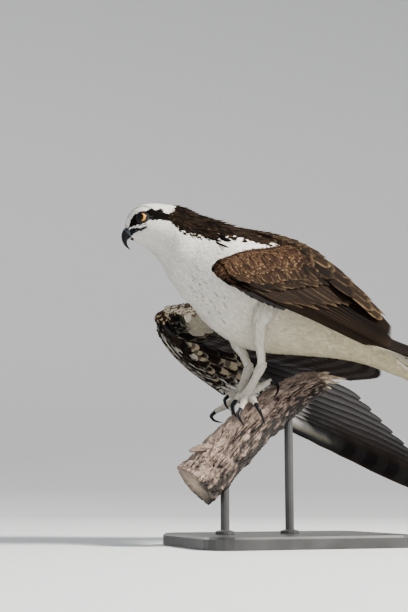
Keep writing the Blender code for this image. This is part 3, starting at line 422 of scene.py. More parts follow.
def body_tint(u, w, luck):
    """The markings of head, neck and body: mask and nape dark, the rest white, cream below the tail, and an olive buff
    towards the underside that is partly real cream and partly painted shade.
    """
    side = np.abs(np.degrees(w))
    top = table(u, *MASK_TOP)
    low = table(u, *MASK_LOW)
    ragged = (luck - 0.5) * table(u, (0, 4, 7, 9, 12), (3, 5, 9, 7, 4))
    inside = (side > top + ragged) & (side < low + ragged)
    dark = mix(DARK, BROWN, smooth(luck * 1.4 - 0.2) * table(u, (2, 5, 9), (0.1, 0.35, 0.6)))
    dark = mix(dark, BLACK, smooth((6.8 - u) / 2.0) * 0.85)
    dark = mix(dark, TAN, (luck > 0.93) * table(u, (4, 6, 12, 16), (0.0, 0.28, 0.30, 0.12)))
    # cream_and_shade: the underside's olive buff, partly real cream and partly painted shade.
    cream_and_shade = table(u, (0, 5, 8, 11.5, 13.5, 17, 20), (0.05, 0.15, 0.15, 0.35, 0.8, 1.0, 1.0)) * smooth((side - 50) / 70)
    pale = mix(WHITE, BELLY_IN_SHADE, cream_and_shade)
    pale = mix(pale, CREAM, 0.22 * luck ** 2) * (0.86 + 0.16 * luck)[..., None]
    path = table(u, (0.7, 1.2, 1.6, 2.25, 2.65, 3.1, 3.6), (30.0, 17.0, 15.0, 19.0, 27.0, 37.0, 50.0))
    streak = (u > 0.7) & (u < 3.7) & (np.abs(side - path) < 6.0) & (luck < 0.80)
    pale = mix(pale, BROWN * 2.0, streak * 0.85)
    mouth = table(u, (0.0, 0.6, 2.2, 3.1), (98.0, 100.0, 110.0, 102.0))
    lip = (u < 3.0) & (side > mouth - table(u, (0, 1, 3), (7, 4, 1.5))) & (side < mouth + table(u, (0, 0.8, 1.5, 3), (48, 26, 9, 2)))
    pale = mix(pale, (0.012, 0.013, 0.016), lip)
    behind = (u > 3.35) & (u < 3.65) & (side > 66) & (side < 86)
    dark = mix(dark, GREY * 0.8, behind * (luck > 0.35) * 0.12)
    fleck = (luck > 0.90) & (u > 8.6) & (u < 11.4) & (side > 128) & (side < 168)
    pale = mix(pale, BROWN * 4, fleck * 0.5)
    return np.where(inside[..., None], dark, pale)


# The plumage of head, neck and body

def eye_centre(side):
    return turned((EYE_AT[0], side * EYE_AT[1], EYE_AT[2]))


def gape_line(side):
    return turned([(-0.1000, side * 0.0160, 0.0950), (-0.0930, side * 0.0205, 0.0985), (-0.0850, side * 0.0240, 0.1030)])


def clear_of_face(points):
    """Whether each feather stays off the eyes and the corners of the mouth."""
    good = np.ones(len(points), bool)
    for side in (-1, 1):
        apart = np.linalg.norm(points - eye_centre(side), axis=-1)
        good &= (apart > 0.0097).all(1)
        line = gape_line(side)
        for a, b in zip(line[:-1], line[1:]):
            ab = b - a
            f = np.clip(((points - a) @ ab) / (ab @ ab), 0, 1)
            gap = np.linalg.norm(points - (a + f[..., None] * ab), axis=-1)
            good &= (gap > 0.0009).all(1)
    return good


SPACING = ((0, 1, 2, 4, 6, 8, 10, 14, 20), (0.0009, 0.0011, 0.0013, 0.0015, 0.0019, 0.0024, 0.0030, 0.0039, 0.0045))
DEPTH = ((0, 2, 6, 10, 20), (0.0008, 0.0011, 0.0022, 0.0034, 0.0038))


def body_places(start, end):
    """Roots of the body's feathers from section start to end, row by row, with the local row spacing."""
    ring = np.linspace(-math.pi, math.pi, 73)
    t = start
    us, ws, gaps = [], [], []
    row = 0
    while t < end:
        spacing = float(table(t, *SPACING))
        _, _, mu, mw = body.frame(np.full(73, t), ring)
        step = spacing / float(np.median(mu))
        around = float(np.sum((mw[1:] + mw[:-1]) / 2 * np.diff(ring)))
        n = max(int(around / (spacing * 0.86)), 6)
        share = np.concatenate([[0], np.cumsum((mw[1:] + mw[:-1]) / 2)])
        share /= share[-1]
        places = ((np.arange(n) + 0.5 * (row % 2) + chance(n, -0.28, 0.28)) / n) % 1.0
        w = np.interp(places, share, ring)
        us.append(t + step * chance(n, -0.30, 0.30))
        ws.append(w)
        gaps.append(np.full(n, step))
        t += step
        row += 1
    return np.concatenate(us), np.concatenate(ws), np.concatenate(gaps)


def body_coat(start, end):
    coat = Coat()
    u, w, gaps = body_places(start, end)
    _, _, mu, _ = body.frame(u, w)
    spacing = np.clip(gaps * mu, 0.6 * table(u, *SPACING), 1.6 * table(u, *SPACING))
    length = spacing * 4.4 * chance(len(u), 0.85, 1.2)
    width = table(u, *SPACING) * 1.65 * chance(len(u), 0.85, 1.15)
    depth = table(u, *DEPTH)
    luck = chance(len(u))
    ends = body_tint(u + 0.6 * length / mu, w, luck)
    shade = 0.84 + 0.18 * chance(len(u))

    def tint(i, s, x):
        base = ends[i] * shade[i][..., None]
        # Darker towards the root: painted shade where the next feathers overlap it.
        root = 0.74 + 0.26 * smooth(s * 1.4)
        return base * root[..., None]

    coat.lay(
        body, u, w, length, width, -0.62 * depth, 0.06 * depth * chance(len(u), -1, 1.4), tint,
        turn=rng.normal(0, 0.11, len(u)), droop=0.10 * depth, thick=0.00013, curl=depth * chance(len(u), -0.12, 0.10),
        ragged=0.12, keep=clear_of_face if start < 6 else None,
    )
    return coat


# Wings, with the same sizes as the solids

WINGS = {
    "left": {
        "side": -1,
        "arm": {
            "edge": [(0.1050, -0.0440, 0.0860), (0.0600, -0.0790, 0.0705), (0.0150, -0.1060, 0.0570),
                     (-0.0275, -0.1270, 0.0375)],
            "root": [(0.1417, -0.0700, 0.0391), (0.0538, -0.1050, 0.0151), (-0.0088, -0.1262, 0.0130)],
            "tip": [(0.2582, -0.0588, -0.0327), (0.2440, -0.0768, -0.0555), (0.1892, -0.1146, -0.0616)],
            "up": [(0.37, -0.80, 0.46), (0.28, -0.82, 0.48), (0.10, -0.93, 0.35)],
        },
        "hand": {
            "edge": [(-0.0330, -0.1315, 0.0262), (-0.0185, -0.1235, 0.0155), (0.0150, -0.1085, 0.0030),
                     (0.0770, -0.0969, -0.0148)],
            "root": [(0.0030, -0.1085, 0.0125), (0.0401, -0.0968, 0.0077), (0.0793, -0.0920, -0.0064)],
            "tip": [(0.2380, -0.0736, -0.0540), (0.3644, -0.0398, -0.0728), (0.5000, -0.0010, -0.0942)],
            "up": [(0.22, -0.80, 0.55), (0.29, -0.72, 0.63), (0.29, -0.72, 0.63)],
        },
    },
    "right": {
        "side": 1,
        "arm": {
            "edge": [(0.1050, 0.0440, 0.0800), (0.0620, 0.0700, 0.0400), (0.0216, 0.1000, 0.0250),
                     (-0.0104, 0.1380, 0.0225)],
            "root": [(0.1240, 0.0800, 0.0200), (0.0594, 0.1150, 0.0000), (0.0060, 0.1480, -0.0196)],
            "tip": [(0.3007, 0.0453, -0.0688), (0.2987, 0.0547, -0.0830), (0.2630, 0.0736, -0.0870)],
            "up": [(0.37, 0.80, 0.46), (0.37, 0.79, 0.48), (0.15, 0.93, 0.33)],
        },
        "hand": {
            "edge": [(-0.0207, 0.1520, 0.0090), (-0.0169, 0.1560, -0.0210), (0.0176, 0.1530, -0.0620),
                     (0.0840, 0.1509, -0.1070)],
            "root": [(0.0086, 0.1421, -0.0292), (0.0436, 0.1462, -0.0665), (0.0848, 0.1487, -0.0981)],
            "tip": [(0.2912, 0.0844, -0.1246), (0.3871, 0.1143, -0.1855), (0.4986, 0.1209, -0.2720)],
            "up": [(0.22, 0.85, 0.45), (0.29, 0.81, 0.51), (0.29, 0.81, 0.51)],
        },
    },
}
SECONDARIES = 19
PRIMARIES = 10
INNER_END = -0.18
CORE_BEYOND = 0.012
CORE_HALF = {"arm": (0.0085, 0.0080), "hand": (0.0085, 0.0078)}


def along_rows(rows, v):
    """Points of a curve through rows of points, v from 0 to 1, carried on straight past either end."""
    v = np.asarray(v, float)
    last = len(rows) - 1
    inside = np.clip(v, 0.0, 1.0)
    point = spline(rows, last * inside)
    step = np.where(inside <= 0.0, 0.05, -0.05)
    near = spline(rows, last * (inside + step))
    beyond = point + (point - near) * ((inside - v) / step)[..., None]
    return np.where((v != inside)[..., None], beyond, point)


class Sheet(Surface):
    """The arm or hand of one wing, or one of its faces where over is a table of heights by distance back."""

    eps_u = 0.004
    eps_w = 0.02
    u_span = (-0.02, 0.30)
    w_span = (-0.25, 1.05)

    def __init__(self, word, name, facing=1.0, over=None, cell=(0, 0, 1, 1)):
        self.side = WINGS[word]["side"]
        self.rows = WINGS[word][name]
        self.half = CORE_HALF[name]
        self.facing = facing
        self.over = over
        self.cell = cell

    def edge(self, v):
        return along_rows(self.rows["edge"], v)

    def root(self, v):
        return along_rows(self.rows["root"], v)

    def tip(self, v):
        return along_rows(self.rows["tip"], v)

    def up(self, v):
        return unit(along_rows(self.rows["up"], np.clip(v, 0.0, 1.0)))

    def core_half(self, v):
        return self.half[0] + (self.half[1] - self.half[0]) * np.asarray(v, float)

    def arm(self, v):
        return np.linalg.norm(self.root(v) - self.edge(v), axis=-1)

    def reach(self, v):
        return np.linalg.norm(self.tip(v) - self.root(v), axis=-1)

    def middle(self, back, v):
        edge, root, tip = self.edge(v), self.root(v), self.tip(v)
        arm = np.linalg.norm(root - edge, axis=-1)[..., None]
        b = np.asarray(back, float)[..., None]
        return np.where(b <= arm, edge + (root - edge) * (b / arm), root + unit(tip - root) * (b - arm))

    def level(self, back, v):
        """The sheet's own normal, off the wing's back."""
        across = self.middle(back, v + 0.04) - self.middle(back, v - 0.04)
        along = self.middle(back + 0.02, v) - self.middle(back - 0.02, v)
        normal = unit(np.cross(across, along))
        sign = np.sign(np.sum(normal * self.up(v), -1, keepdims=True))
        return normal * np.where(sign == 0, 1, sign)

    def point(self, u, w):
        u, w = np.broadcast_arrays(np.asarray(u, float), np.asarray(w, float))
        p = self.middle(u, w)
        if self.over is not None:
            share = u / self.arm(w)
            p = p + self.level(u, w) * (self.facing * self.over(share, u))[..., None]
        return p

    def frame(self, u, w):
        p, n, mu, mw = Surface.frame(self, u, w)
        outward = self.up(w) * self.facing
        sign = np.sign(np.sum(n * outward, -1, keepdims=True))
        return p, n * np.where(sign == 0, 1, sign), mu, mw


def arm_over(share, back):
    """Height of the arm's upper face over its middle, by the share of the arm's depth."""
    return table(share, (-0.1, 0.0, 0.03, 0.10, 0.22, 0.50, 0.85, 1.5, 2.5, 5.0),
                 (-0.001, 0.0008, 0.0040, 0.0075, 0.0100, 0.0112, 0.0106, 0.0075, 0.0040, 0.0010))


def arm_under(share, back):
    return table(share, (-0.1, 0.0, 0.03, 0.10, 0.22, 0.50, 0.85, 1.5, 2.2, 5.0),
                 (-0.001, 0.0008, 0.0036, 0.0066, 0.0080, 0.0082, 0.0076, 0.0052, 0.0020, 0.0008))


def hand_over(share, back):
    return table(share, (-0.1, 0.0, 0.04, 0.14, 0.30, 0.60, 1.0, 1.4, 2.5),
                 (-0.001, 0.0008, 0.0040, 0.0070, 0.0092, 0.0094, 0.0064, 0.0036, 0.0022))


def hand_under(share, back):
    return table(share, (-0.1, 0.0, 0.04, 0.14, 0.30, 0.60, 1.0, 1.4, 2.5),
                 (-0.001, 0.0008, 0.0040, 0.0070, 0.0088, 0.0088, 0.0060, 0.0030, 0.0016))


class Knob(Surface):
    """The rounded front of one wrist, as a blunt bullet over the core's corner. u runs back from its nose."""

    eps_u = 0.001
    eps_w = 0.05
    BEND = 0.012
    u_span = (0.0, 0.03)
    w_span = (0.0, 2 * math.pi)

    def __init__(self, word, cell):
        arm, hand = Sheet(word, "arm"), Sheet(word, "hand")
        one, zero = np.array([1.0]), np.array([0.0])
        top, low = arm.edge(one)[0], hand.edge(zero)[0]
        middle = (top + low) / 2
        self.axis = unit(middle - (arm.root(one)[0] + hand.root(zero)[0]) / 2)
        ridge = (top - low) - self.axis * ((top - low) @ self.axis)
        self.half = float(np.linalg.norm(ridge)) / 2 + 0.0060
        self.ridge = unit(ridge)
        flat = np.cross(self.axis, self.ridge)
        self.flat = flat * np.sign(flat @ (arm.up(one)[0] + hand.up(zero)[0]))
        self.centre = middle - self.axis * 0.0095
        self.cell = cell

    def point(self, u, w):
        u, w = np.broadcast_arrays(np.asarray(u, float), np.asarray(w, float))
        bend = np.minimum(u / self.BEND, math.pi / 2)
        beyond = np.maximum(u - self.BEND * math.pi / 2, 0.0)
        wide = (np.sin(bend) - 12.0 * beyond)[..., None]
        return (
            self.centre
            + self.axis * (0.0110 * np.cos(bend) - beyond)[..., None]
            + self.ridge * wide * (self.half * np.cos(w))[..., None]
            + self.flat * wide * (0.0094 * np.sin(w))[..., None]
        )

    def frame(self, u, w):
        p, n, mu, mw = Surface.frame(self, u, w)
        sign = np.sign(np.sum(n * (p - self.centre), -1, keepdims=True))
        return p, n * np.where(sign == 0, 1, sign), mu, mw


class HandPlane(Surface):
    """The slightly bowed plane that the hand's long feathers lie along. u runs along it and w across it, in metres."""

    eps_u = 0.004
    eps_w = 0.002
    u_span = (0.0, 0.55)
    w_span = (-0.12, 0.12)

    def __init__(self, sheet, cell, facing=1.0):
        zero, one, half = [np.array([v], float) for v in (0.0, 1.0, 0.5)]
        self.first, last = sheet.root(zero)[0], sheet.tip(one)[0]
        self.whole = np.linalg.norm(last - self.first)
        self.along = (last - self.first) / self.whole
        normal = sheet.up(half)[0]
        self.normal = unit(normal - self.along * (normal @ self.along))
        self.across = np.cross(self.along, self.normal)
        end = sheet.root(one)[0] - self.first
        level = end @ self.across
        self.slope = (end @ self.normal) / level if abs(level) > 0.010 else 0.0
        self.cell = cell
        self.facing = facing

    def flat(self, points):
        """(u, w) of points."""
        rel = np.asarray(points) - self.first
        return rel @ self.along, rel @ self.across

    def point(self, u, w):
        u, w = np.broadcast_arrays(np.asarray(u, float), np.asarray(w, float))
        tall = 0.012 * u * (1 - u / self.whole) + self.slope * w
        return self.first + self.along * u[..., None] + self.across * w[..., None] + self.normal * tall[..., None]

    def frame(self, u, w):
        p, _, mu, mw = Surface.frame(self, u, w)
        return p, np.broadcast_to(self.normal * self.facing, p.shape), mu, mw


class Shoulder(Surface):
    """The strip of shoulder feathers on one side. w runs from the spine outwards and u back towards the tail."""

    HIGH = [(0.0800, 0.0180, 0.1060), (0.1450, 0.0220, 0.0900), (0.2050, 0.0240, 0.0505), (0.2560, 0.0260, 0.0050)]
    LOW = [(0.0900, 0.0560, 0.0860), (0.1420, 0.0740, 0.0570), (0.1980, 0.0760, 0.0230), (0.2500, 0.0660, -0.0120)]
    LENGTH = 0.195
    eps_u = 0.004
    eps_w = 0.02
    u_span = (-0.03, 0.22)
    w_span = (-0.2, 1.2)

    def __init__(self, side, cell, rise=0.0):
        self.side = side
        self.cell = cell
        self.rise = rise

    def point(self, u, w):
        u, w = np.broadcast_arrays(np.asarray(u, float), np.asarray(w, float))
        share = u / self.LENGTH
        high, low = along_rows(self.HIGH, share), along_rows(self.LOW, share)
        p = high + (low - high) * w[..., None]
        p = np.stack([p[..., 0], self.side * p[..., 1], p[..., 2]], -1)
        sunk = 0.030 * np.maximum(w - 0.95, 0.0)
        up = unit(np.stack([0.30 + 0 * w, self.side * (0.30 + 0.50 * w), 0.90 - 0.40 * w], -1))
        lift = self.rise * (1 - (1.6 * (w - 0.5)) ** 2 * 0.5) * table(u, (-0.02, 0.02, 0.10, 0.20), (0.6, 1.0, 0.85, 0.4))
        return p + up * (lift - sunk)[..., None]

    def frame(self, u, w):
        p, n, mu, mw = Surface.frame(self, u, w)
        up = unit(np.stack([0.30 + 0 * w, self.side * (0.30 + 0.50 * w), 0.90 - 0.40 * w], -1))
        sign = np.sign(np.sum(n * up, -1, keepdims=True))
        return p, n * np.where(sign == 0, 1, sign), mu, mw


def plain(base, root=0.72):
    """A feather's tint: one colour, darker at the root as painted shade under the feathers that overlap it."""
    def tint(i, s, x):
        return base[i] * (root + (1 - root) * smooth(s * 2.0))[..., None]
    return tint


def grid_places(sheet, start, end, rows, spacing, span=(0.0, 1.0)):
    """Roots on a wing's face, rows from start to end as shares of its depth, staggered."""
    us, ws = [], []
    for k in range(rows):
        share = start + (end - start) * k / max(rows - 1, 1)
        v = np.linspace(span[0], span[1], 41)
        back = share * sheet.arm(v)
        _, _, _, mw = sheet.frame(back, v)
        run = np.concatenate([[0], np.cumsum((mw[1:] + mw[:-1]) / 2 * np.diff(v))])
        n = max(int(run[-1] / spacing), 3)
        at = (np.arange(n) + 0.5 * (k % 2) + chance(n, -0.2, 0.2)) / n * run[-1]
        w = np.interp(at, run, v)
        us.append(share * sheet.arm(w) + spacing * chance(n, -0.22, 0.22))
        ws.append(w)
    return np.concatenate(us), np.concatenate(ws)


def constant(colour, n):
    return np.broadcast_to(np.asarray(colour, float), (n, 3)).copy()


def upper_tint(v, back, luck):
    """The wing's upper coverts: rufous near the leading edge, black brown behind it."""
    n = len(v)
    front = smooth(1 - back / 0.040)
    base = mix(constant(BLACK, n), BROWN, 0.06 + 0.34 * luck)
    base = mix(base, RUFOUS, front * 0.60 * (0.3 + 0.7 * luck))
    fringe = mix(constant(TAN, n), BUFF, 0.4 * luck)
    strength = (0.15 + 0.80 * luck ** 1.5) * (0.35 + 0.65 * front)
    return base, (fringe, strength)


def under_arm_tint(v, back, arm, luck):
    """The underwing's coverts: a barred cream edge dimmed by painted shade, a white lining painted grey as shade, dark
    towards the wrist, and buff near the body as painted sunlight shining through the feathers.
    """
    n = len(v)
    share = back / arm
    pale = mix(constant(WHITE, n) * 0.85, CREAM, 0.5)
    # The band is dimmed to 0.8 as painted shade.
    band = mix(mix(pale, BUFF, 0.25 + 0.40 * luck) * 0.8, BROWN, (luck > 0.70) * 0.8)
    # The white lining is painted grey and dimmed as shade.
    base = np.where((share < 0.20)[:, None], band, mix(constant(GREY, n), BELLY_IN_SHADE, 0.6) * (0.55 + 0.15 * luck)[:, None])
    base = mix(base, BLACK, smooth((v - 0.74) / 0.12) * (share > 0.12) * ((luck > 0.10) | (v > 0.86)))
    base = mix(base, DARK, (share > 0.66) * (luck > 0.25) * 0.9)
    # Buff near the body: painted sunlight shining through the feathers.
    base = mix(base, BUFF * 1.2, (v < 0.36) * (v > 0.02) * (share > 0.35) * (luck > 0.25) * 0.8)
    return base


def under_hand_tint(v, back, arm, luck):
    """The hand's lining: black at the wrist, mottled with cream behind it and along the leading edge."""
    n = len(v)
    share = back / arm
    base = mix(constant(BLACK, n), BROWN, 0.6 * luck * luck)
    pale = mix(constant(WHITE, n) * 0.6, CREAM * 0.8, 0.6)
    edge = smooth((0.30 - share) / 0.22)
    base = mix(base, pale, edge * (luck > 0.50) * smooth((v - 0.12) / 0.2) * 0.85)
    base = mix(base, pale * 0.8, (share > 0.30) * (luck > 0.78) * (v > 0.10) * 0.8)
    return base


def flight_under(base, place, luck):
    """The underside of the hand's long feathers: pale bases, charcoal inner webs, black tips. place is metres out."""
    def tint(i, s, x):
        out = place[0][i] + s * (place[1] - place[0])[i]
        outer = (i / (PRIMARIES - 1.0)) + 0 * s
        pale = mix(constant(CREAM, 1)[0], WHITE * 0.8, smooth(x * 2 + 0.5))
        colour = mix(base[i], BLACK, smooth(outer * 1.6 - 0.5) * smooth((out - 0.26) / 0.05))
        colour = mix(colour, GREY * 0.6, (1 - outer) * 0.22 * smooth((out - 0.20) / 0.04) * smooth(x + 0.6))
        edge = 0.232 + 0.020 * smooth(outer * 2 - 0.9) - 0.012 * luck[i]
        inner_web = smooth((x + 0.15) / 0.35)
        colour = mix(colour, pale, 0.92 * smooth((edge - out) / 0.020) * smooth(outer * 2.2 - 0.5) * inner_web)
        shaft = smooth(1 - np.abs(x) / 0.12) * smooth((0.30 - out) / 0.04) * (outer > 0.7)
        return mix(colour, CREAM, shaft * 0.16)
    return tint


def flight_coat(word, cells):
    """One wing's long feathers: the arm's from over the back out to the wrist, then the hand's in parallel layers."""
    coat = Coat()
    arm = Sheet(word, "arm", cell=cells[0])
    n = SECONDARIES
    step = (1.0 - INNER_END) / (n - 1)
    v = INNER_END + step * np.arange(n)
    start = arm.arm(v) - 0.004
    luck = chance(n)
    base = mix(constant(BLACK, n), BROWN, 0.10 + 0.20 * luck)
    below = mix(constant(CHARCOAL, n) * 0.9, BROWN, 0.35)
    width = np.where(v < 0.1, 0.034, 0.031) * chance(n, 0.95, 1.05)
    _, _, _, pitch = arm.frame(start + 0.10, v)
    tilt = np.minimum(0.0012 * (width / 2) / (step * pitch), 0.0017)
    coat.lay(
        arm, start, v, arm.reach(v) + 0.004, width, 0.0002, 0.0003, plain(base, 0.9), shape=FLIGHT, tilt=tilt,
        thick=0.00035, droop=-0.0004, ragged=0.05, patch=0.055, under=plain(below, 0.9),
        rim=(constant(BROWN * 1.6, n), 0.5 * luck), bar=(constant(GREY * 0.5, n), np.full(n, 0.20)),
    )
    hand = Sheet(word, "hand")
    plane = HandPlane(hand, cells[1])
    n = PRIMARIES
    v = np.arange(n) / (n - 1)
    root, path = hand.root(v), unit(hand.tip(v) - hand.root(v))
    reach = hand.reach(v) * np.where(v < 0.95, 1.0, 0.95)
    u0, w0 = plane.flat(root)
    u1, w1 = plane.flat(root + path * reach[:, None])
    luck = chance(n)
    base = mix(constant(BLACK, n), DARK, 0.5 * luck)
    below = constant(CHARCOAL * 0.8, n)
    high = 0.0012 - 0.0010 * np.arange(n)
    coat.lay(
        plane, u0, w0, np.hypot(u1 - u0, w1 - w0), 0.031, high, high, plain(base, 0.9), shape=PRIMARY,
        turn=np.arctan2(w1 - w0, u1 - u0), thick=0.00033, ragged=0.04, patch=0.055,
        under=flight_under(below, (u0, u1), luck), rim=(constant(BROWN, n), np.full(n, 0.2)),
        bar=(constant(GREY * 0.2, n), np.full(n, 0.06)),
    )
    return coat


def primary_coverts(word, cells, upper, under):
    """The long coverts of the hand: one fan of them above, and four mottled tiers below."""
    hand = Sheet(word, "hand")
    count = 9
    v = np.linspace(0.0, 1.0, count)
    root = hand.root(v) + (hand.edge(v) - hand.root(v)) * -0.08
    path = unit(hand.tip(v) - hand.root(v))
    face = HandPlane(hand, cells[2], 1.0)
    u0, w0 = face.flat(root)
    u1, w1 = face.flat(root + path * (0.105 - 0.030 * v)[:, None])
    luck = chance(count)
    high = 0.0036 - 0.00055 * np.arange(count)
    upper.lay(
        face, u0, w0, np.hypot(u1 - u0, w1 - w0), 0.024, high, high, plain(mix(constant(BLACK, count), BROWN, 0.3)),
        shape=COVERT, turn=np.arctan2(w1 - w0, u1 - u0), thick=0.0003, ragged=0.05, patch=0.02,
        rim=(constant(TAN, count), 0.25 + 0.4 * luck),
    )
    face = HandPlane(hand, cells[2], -1.0)
    for first, length, width, count, tall in (
        (0.078, 0.048, 0.0140, 17, 0.0030), (0.054, 0.040, 0.0120, 20, 0.0046), (0.032, 0.034, 0.0105, 23, 0.0058),
        (0.012, 0.028, 0.0095, 25, 0.0070),
    ):
        v = np.clip(np.linspace(-0.02, 1.02, count) + 0.01 * rng.normal(0, 1, count), -0.05, 1.05)
        root = hand.root(v)
        path = unit(hand.tip(v) - root)
        u0, w0 = face.flat(root + path * (first - 0.022 * v)[:, None])
        u1, w1 = face.flat(root + path * (first + 0.05))
        luck = chance(count)
        base = mix(constant(BLACK, count), BROWN, 0.5 * luck)
        base = mix(base, mix(constant(CREAM, count), BUFF, 0.5) * 0.6, (luck > 0.60) * 0.7)
        coat_rim = mix(constant(CREAM, count), BUFF, luck * 0.6) * 0.75
        under.lay(
            face, u0, w0, length * chance(count, 0.88, 1.12), width, tall - 0.0030, tall, plain(base), shape=COVERT,
            turn=np.arctan2(w1 - w0, u1 - u0) + rng.normal(0, 0.05, count), thick=0.0003, ragged=0.06, patch=0.012,
            droop=0.0007, rim=(coat_rim, 0.8 * chance(count) ** 1.5),
            bar=(constant(BLACK, count), np.where(luck > 0.60, 0.75, 0.0)),
        )


def upper_coat(word, cells, coat):
    """The upper coverts of one wing: greater and median rows, then small ones up to the leading edge."""
    face = Sheet(word, "arm", 1.0, arm_over, cells[3])
    for count, start, length, width, low, high in (
        (17, 0.72, 0.093, 0.021, -0.0046, -0.0006), (18, 0.42, 0.060, 0.020, -0.0036, 0.0000),
    ):
        v = -0.14 + 1.12 * (np.arange(count) + 0.5) / count + 0.008 * rng.normal(0, 1, count)
        luck = chance(count)
        back = start * face.arm(v)
        base, rim = upper_tint(v, back + length * 0.5, luck)
        coat.lay(
            face, back, v, length * chance(count, 0.90, 1.07), width, low, high, plain(base), shape=COVERT,
            tilt=0.0005, droop=0.0006, thick=0.0003, ragged=0.06, patch=0.02, rim=rim,
        )
    for start, end, rows, spacing, size, shape in (
        (0.50, 0.66, 2, 0.0085, 0.034, COVERT), (0.12, 0.40, 5, 0.0056, 0.0235, MEDIUM),
        (-0.02, 0.10, 5, 0.0034, 0.0135, MEDIUM),
    ):
        u, w = grid_places(face, end, start, rows, spacing, (-0.14, 1.04))
        n = len(u)
        luck = chance(n)
        base, rim = upper_tint(w, u, luck)
        coat.lay(
            face, u, w, size * chance(n, 0.85, 1.2), spacing * 1.5, -0.0022, chance(n, 0.0, 0.0007), plain(base),
            shape=shape, turn=rng.normal(0, 0.12, n), droop=0.0004, thick=0.0003, ragged=0.08, patch=0.006, rim=rim,
        )
    face = Sheet(word, "hand", 1.0, hand_over, cells[4])
    u, w = grid_places(face, 1.05, -0.02, 9, 0.0058, (-0.06, 1.03))
    n = len(u)
    luck = chance(n)
    base, rim = upper_tint(w, u, luck)
    grow = table(u / face.arm(w), (0.0, 0.3, 1.0), (0.6, 1.0, 1.35))
    coat.lay(
        face, u, w, 0.0185 * grow * chance(n, 0.85, 1.15), 0.0105 * grow, -0.0022, chance(n, 0.0, 0.0006), plain(base),
        shape=MEDIUM, turn=rng.normal(0, 0.10, n), droop=0.0004, thick=0.0003, ragged=0.06, patch=0.006,
        rim=(rim[0], rim[1] * 0.6),
    )


def wrist_coat(word, cell, coat):
    """Small feathers over the front of the wrist, where the arm's coat meets the hand's."""
    knob = Knob(word, cell)
    for u in np.linspace(0.0175, 0.0012, 9):
        around = 2 * math.pi * math.sin(min(u / Knob.BEND, math.pi / 2)) * (knob.half + 0.0094) / 2
        n = max(int(around / 0.0031), 4)
        w = 2 * math.pi * (np.arange(n) + chance(n, -0.25, 0.25)) / n + rng.random() * 6.0
        luck = chance(n)
        base, rim = upper_tint(w, np.zeros(n), luck)
        base = mix(base, mix(CREAM, BUFF, 0.5) * 0.6, (word == "right") * (np.sin(w) < 0.1) * (luck > 0.55) * 0.8)
        coat.lay(
            knob, np.full(n, u), w, 0.0100 * chance(n, 0.85, 1.15), 0.0054, -0.0018, chance(n, 0.0, 0.0006), plain(base),
            shape=MEDIUM, turn=rng.normal(0, 0.12, n), droop=0.0004, thick=0.0003, ragged=0.08, patch=0.006,
            rim=(rim[0], rim[1] * 0.8),
        )


def under_coat(word, cells, coat):
    """The lining of one wing."""
    face = Sheet(word, "arm", -1.0, arm_under, cells[5])
    for start, end, rows, spacing, size, shape, bars in (
        (0.62, 0.95, 3, 0.0095, 0.044, COVERT, 0.0), (0.19, 0.60, 8, 0.0052, 0.018, MEDIUM, 0.0),
        (-0.02, 0.17, 8, 0.0030, 0.0090, MEDIUM, 0.75),
    ):
        u, w = grid_places(face, end, start, rows, spacing, (-0.16, 1.00))
        n = len(u)
        luck = chance(n)
        base = under_arm_tint(w, u, face.arm(w), luck)
        coat.lay(
            face, u, w, size * chance(n, 0.85, 1.15), spacing * 1.85, -0.0020, chance(n, 0.0, 0.0005), plain(base),
            shape=shape, turn=rng.normal(0, 0.10, n), droop=0.0004, thick=0.0003, ragged=0.06, patch=0.006,
            rim=(constant(CREAM * 0.8, n), 0.4 * chance(n) ** 2), bar=(constant(BROWN, n), np.full(n, bars)),
        )
    face = Sheet(word, "hand", -1.0, hand_under, cells[5])
    u, w = grid_places(face, 1.05, -0.02, 9, 0.0056, (-0.06, 1.03))
    n = len(u)
    luck = chance(n)
    # The left wing's hand lining is dimmed to a quarter with weaker cream rims: painted shade on a copy of the right
    # wing's lining.
    base = under_hand_tint(w, u, face.arm(w), luck) * (0.25 if word == "left" else 1.0)
    grow = table(u / face.arm(w), (0.0, 0.3, 1.0), (0.6, 1.0, 1.35))
    coat.lay(
        face, u, w, 0.0180 * grow * chance(n, 0.85, 1.15), 0.0105 * grow, -0.0022, chance(n, 0.0, 0.0005),
        plain(base), shape=MEDIUM, turn=rng.normal(0, 0.10, n), droop=0.0004, thick=0.0003, ragged=0.06,
        patch=0.006, rim=(constant(CREAM * 0.7, n), (0.1 if word == "left" else 0.6) * chance(n) ** 2),
        bar=(constant(BLACK, n), 0.8 * chance(n)),
    )


def wing_coats(word, row):
    """The coats of one wing: the flight feathers, the upper coverts and the under coverts."""
    cells = [(0.01 + 0.164 * k, row, 0.01 + 0.164 * (k + 0.95), row + 0.125) for k in range(6)]
    upper, under = Coat(), Coat()
    primary_coverts(word, cells, upper, under)
    upper_coat(word, cells, upper)
    wrist_coat(word, cells[4], upper)
    under_coat(word, cells, under)
    return flight_coat(word, cells), upper, under


